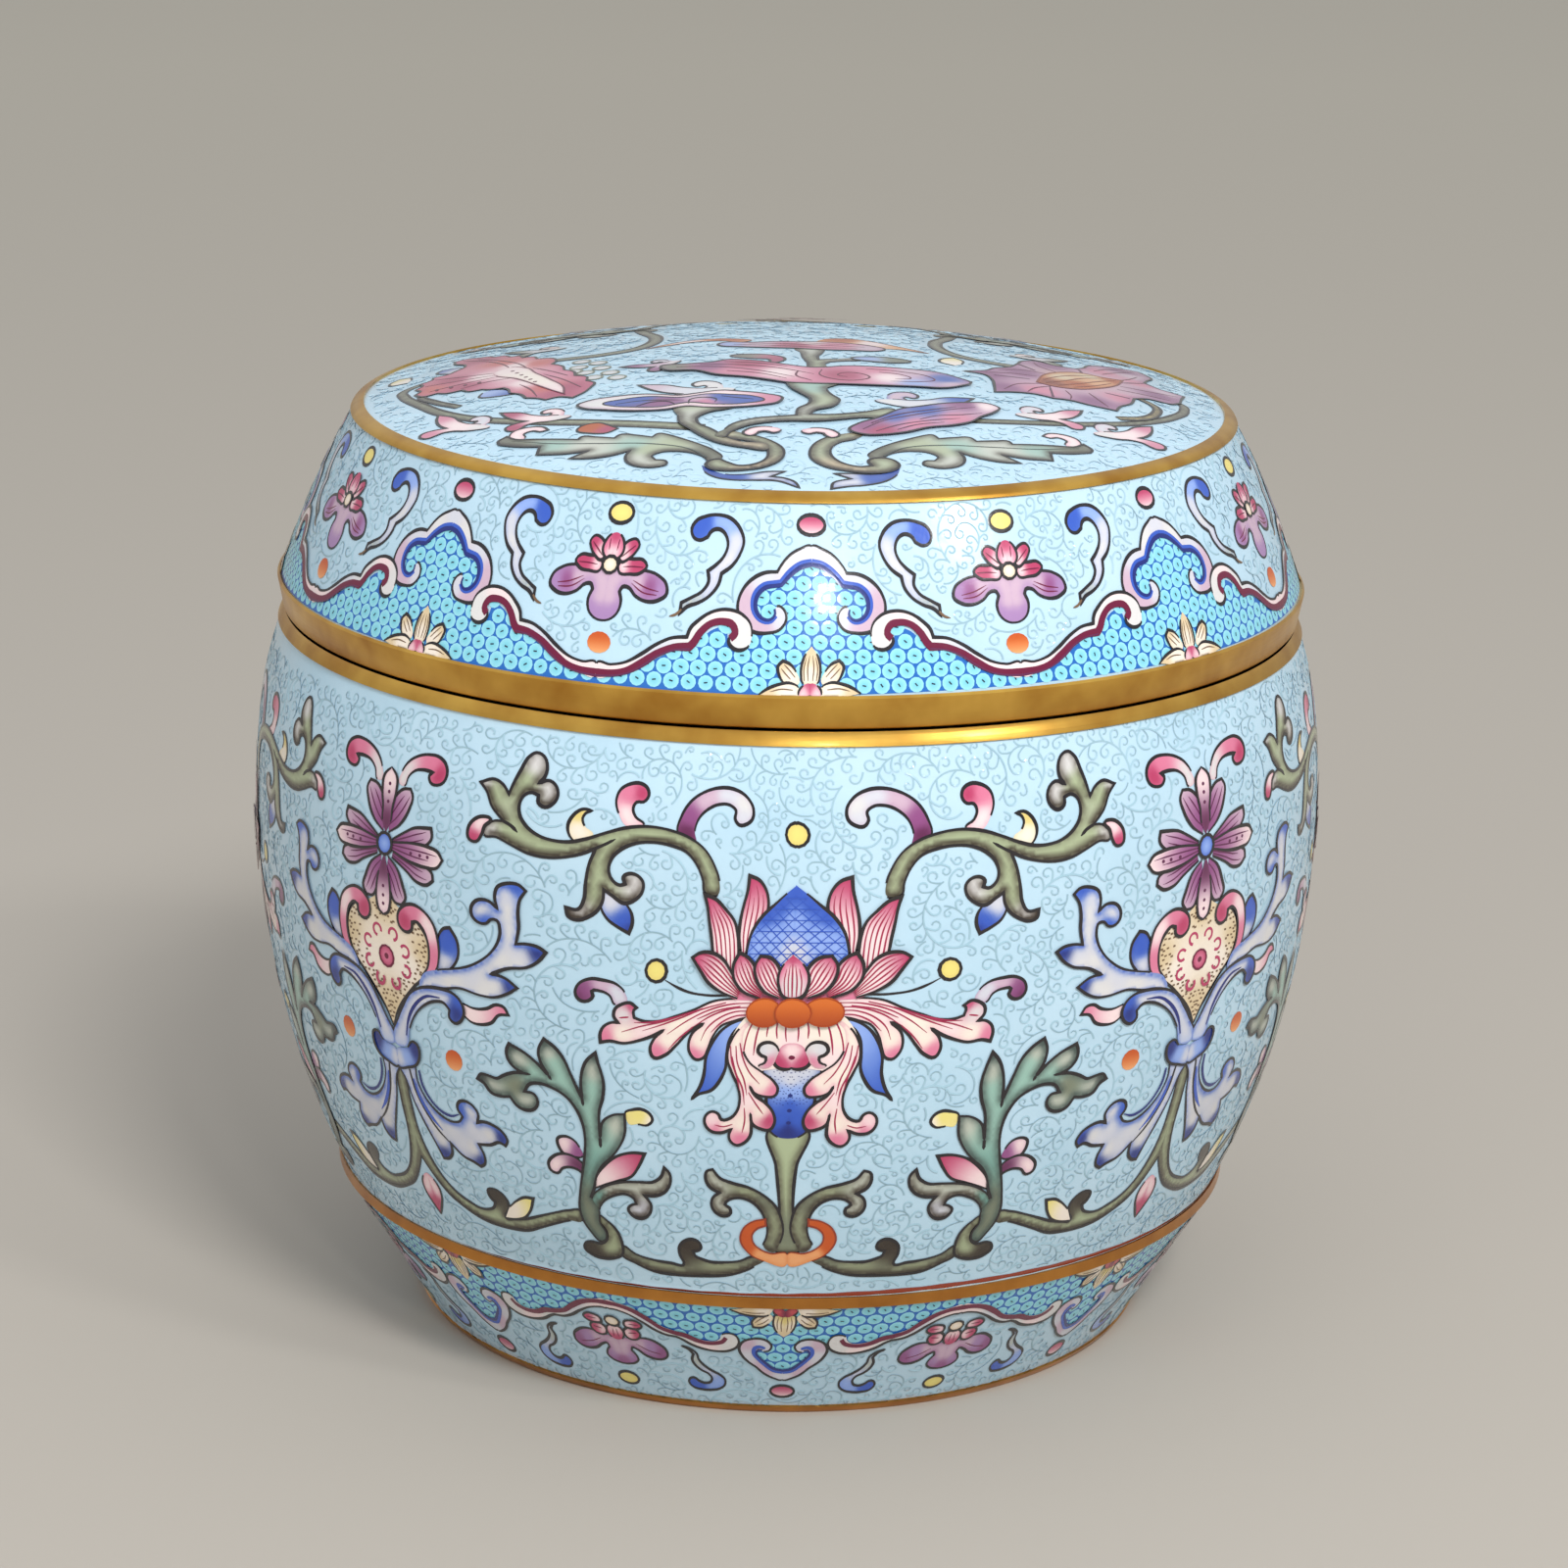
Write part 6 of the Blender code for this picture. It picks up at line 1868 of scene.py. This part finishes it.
dome_ground = Ground(-2 * dome.left, -2 * dome.left, dome_painted_at, 17).grow()
dome_laid = on_dome(dome_line, DOME_TURN)
dome_scroll = scrolled("dome_scroll", dome_ground, dome_spread, 1, dome_laid, SCROLL_FAINT)
lid_scroll = [side_scroll, dome_scroll]

# %% [markdown]
# ## Floor, light and camera
# The jar stands on a pale satin table that runs on behind it as far as the eye sees, so that every
# side of the jar can be looked at. A soft panel at the right gives the light and the shadow, a wider
# one lifts the left, and two small lamps in front give the small bright glints of the glaze. The
# panels are left out of reflections, where they would wash out the painting.

# %% The floor
FLOOR_HALF = 12.0
# The far tone is painted light: the table is painted paler where less of the lamps' light reaches it.
FLOOR_TONE, FAR_PAINTED_LIGHT = colour(172, 165, 155), colour(184, 177, 163)
FAR_FROM, FAR_FADE = 0.25, 0.9


def table():
    """A wide plain table, painted paler far from the jar: painted light that makes up for the light falling
    off there.
    """
    corners = [(-1, -1), (1, -1), (1, 1), (-1, 1)]
    mesh = bpy.data.meshes.new("table")
    mesh.from_pydata([(x * FLOOR_HALF, y * FLOOR_HALF, 0) for x, y in corners], [], [(0, 1, 2, 3)])
    made = Shader("table_satin", Roughness=0.75)
    place = made.add("ShaderNodeTexCoord", output="Object")
    far = made.add("ShaderNodeVectorMath", {0: place}, "Value", operation="LENGTH")
    made.feed("Base Color", made.mix((far - FAR_FROM) * FAR_FADE, FLOOR_TONE, FAR_PAINTED_LIGHT))
    mesh.materials.append(made.material)
    top = shown("table", mesh)
    top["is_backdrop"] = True


table()

# %% The light
PANELS = {
    "key": {"at": (0.36, -1.0, 1.05), "size": (0.32, 0.32), "power": 13.7, "glossy": False},
    "left": {"at": (-0.6, -1.25, 0.75), "size": (0.9, 0.9), "power": 4.4, "glossy": False},
    "lamp_front": {"at": (0.15, -1.15, 0.86), "size": (0.08, 0.08), "power": 1.5, "glossy": True},
    "lamp_right": {"at": (0.84, -0.82, 1.05), "size": (0.16, 0.16), "power": 3.6, "glossy": True},
}
AIM = Vector((0, 0, 0.08))


def panel(name, at, size, power, glossy):
    """A soft rectangular light that faces the jar, and may be left out of reflections."""
    data = bpy.data.lights.new(name, "AREA")
    data.shape, data.size, data.size_y, data.energy = "RECTANGLE", size[0], size[1], power
    lamp = shown(name, data)
    lamp.location, lamp.visible_glossy = at, glossy
    lamp.rotation_euler = (AIM - Vector(at)).to_track_quat("-Z", "Y").to_euler()


for name, settings in PANELS.items():
    panel(name, **settings)


ROOM_LOW, ROOM_HIGH = (0.335, 0.325, 0.31, 1.0), (0.72, 0.745, 0.775, 1.0)
ROOM_FADE = {1: -0.1, 2: 0.75}


def room():
    """A world that is dim low down and bright overhead, so that gold has something to mirror."""
    world = bpy.data.worlds.new("room")
    world.use_nodes = True
    made = Tree(world.node_tree)
    toward = made.add("ShaderNodeTexCoord", output="Generated")
    height = made.add("ShaderNodeSeparateXYZ", {0: toward}, "Z")
    share = made.add("ShaderNodeMapRange", {"Value": height, **ROOM_FADE})
    made.join(world.node_tree.nodes["Background"].inputs["Color"], made.mix(share, ROOM_LOW, ROOM_HIGH))
    bpy.context.scene.world = world


room()
bpy.context.scene.view_settings.view_transform = "Standard"

# %% The camera
LENS, SENSOR = 103.87, 36.0
CAMERA_RANGE, CAMERA_HEIGHT = 0.57712, 0.23285
CAMERA_ROUND = math.radians(-0.9)
CAMERA_DOWN, CAMERA_LEAN, CAMERA_SIDE = math.radians(15.85), math.radians(1.09), math.radians(0.039)

camera_data = bpy.data.cameras.new("camera")
camera_data.lens, camera_data.sensor_width = LENS, SENSOR
camera = shown("camera", camera_data)
spin = Matrix.Rotation(CAMERA_ROUND + CAMERA_SIDE, 4, "Z")
nod = Matrix.Rotation(math.radians(90) - CAMERA_DOWN, 4, "X")
lean = Matrix.Rotation(CAMERA_LEAN, 4, "Z")
place = Vector((math.sin(CAMERA_ROUND), -math.cos(CAMERA_ROUND), 0)) * CAMERA_RANGE
place.z = CAMERA_HEIGHT
camera.matrix_world = Matrix.Translation(place) @ spin @ nod @ lean
bpy.context.scene.camera = camera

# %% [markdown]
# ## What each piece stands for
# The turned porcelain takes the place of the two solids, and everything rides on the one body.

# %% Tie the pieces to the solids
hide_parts("jar")
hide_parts("lid")
for piece in [jar, lid] + gilt + enamelled + jar_scroll + lid_scroll:
    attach(piece, BODY)

# %% Print the size of what is shown
new_box = [list(corner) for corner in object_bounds()]
print("visual box in mm:", [[round(side / MM, 2) for side in corner] for corner in new_box])
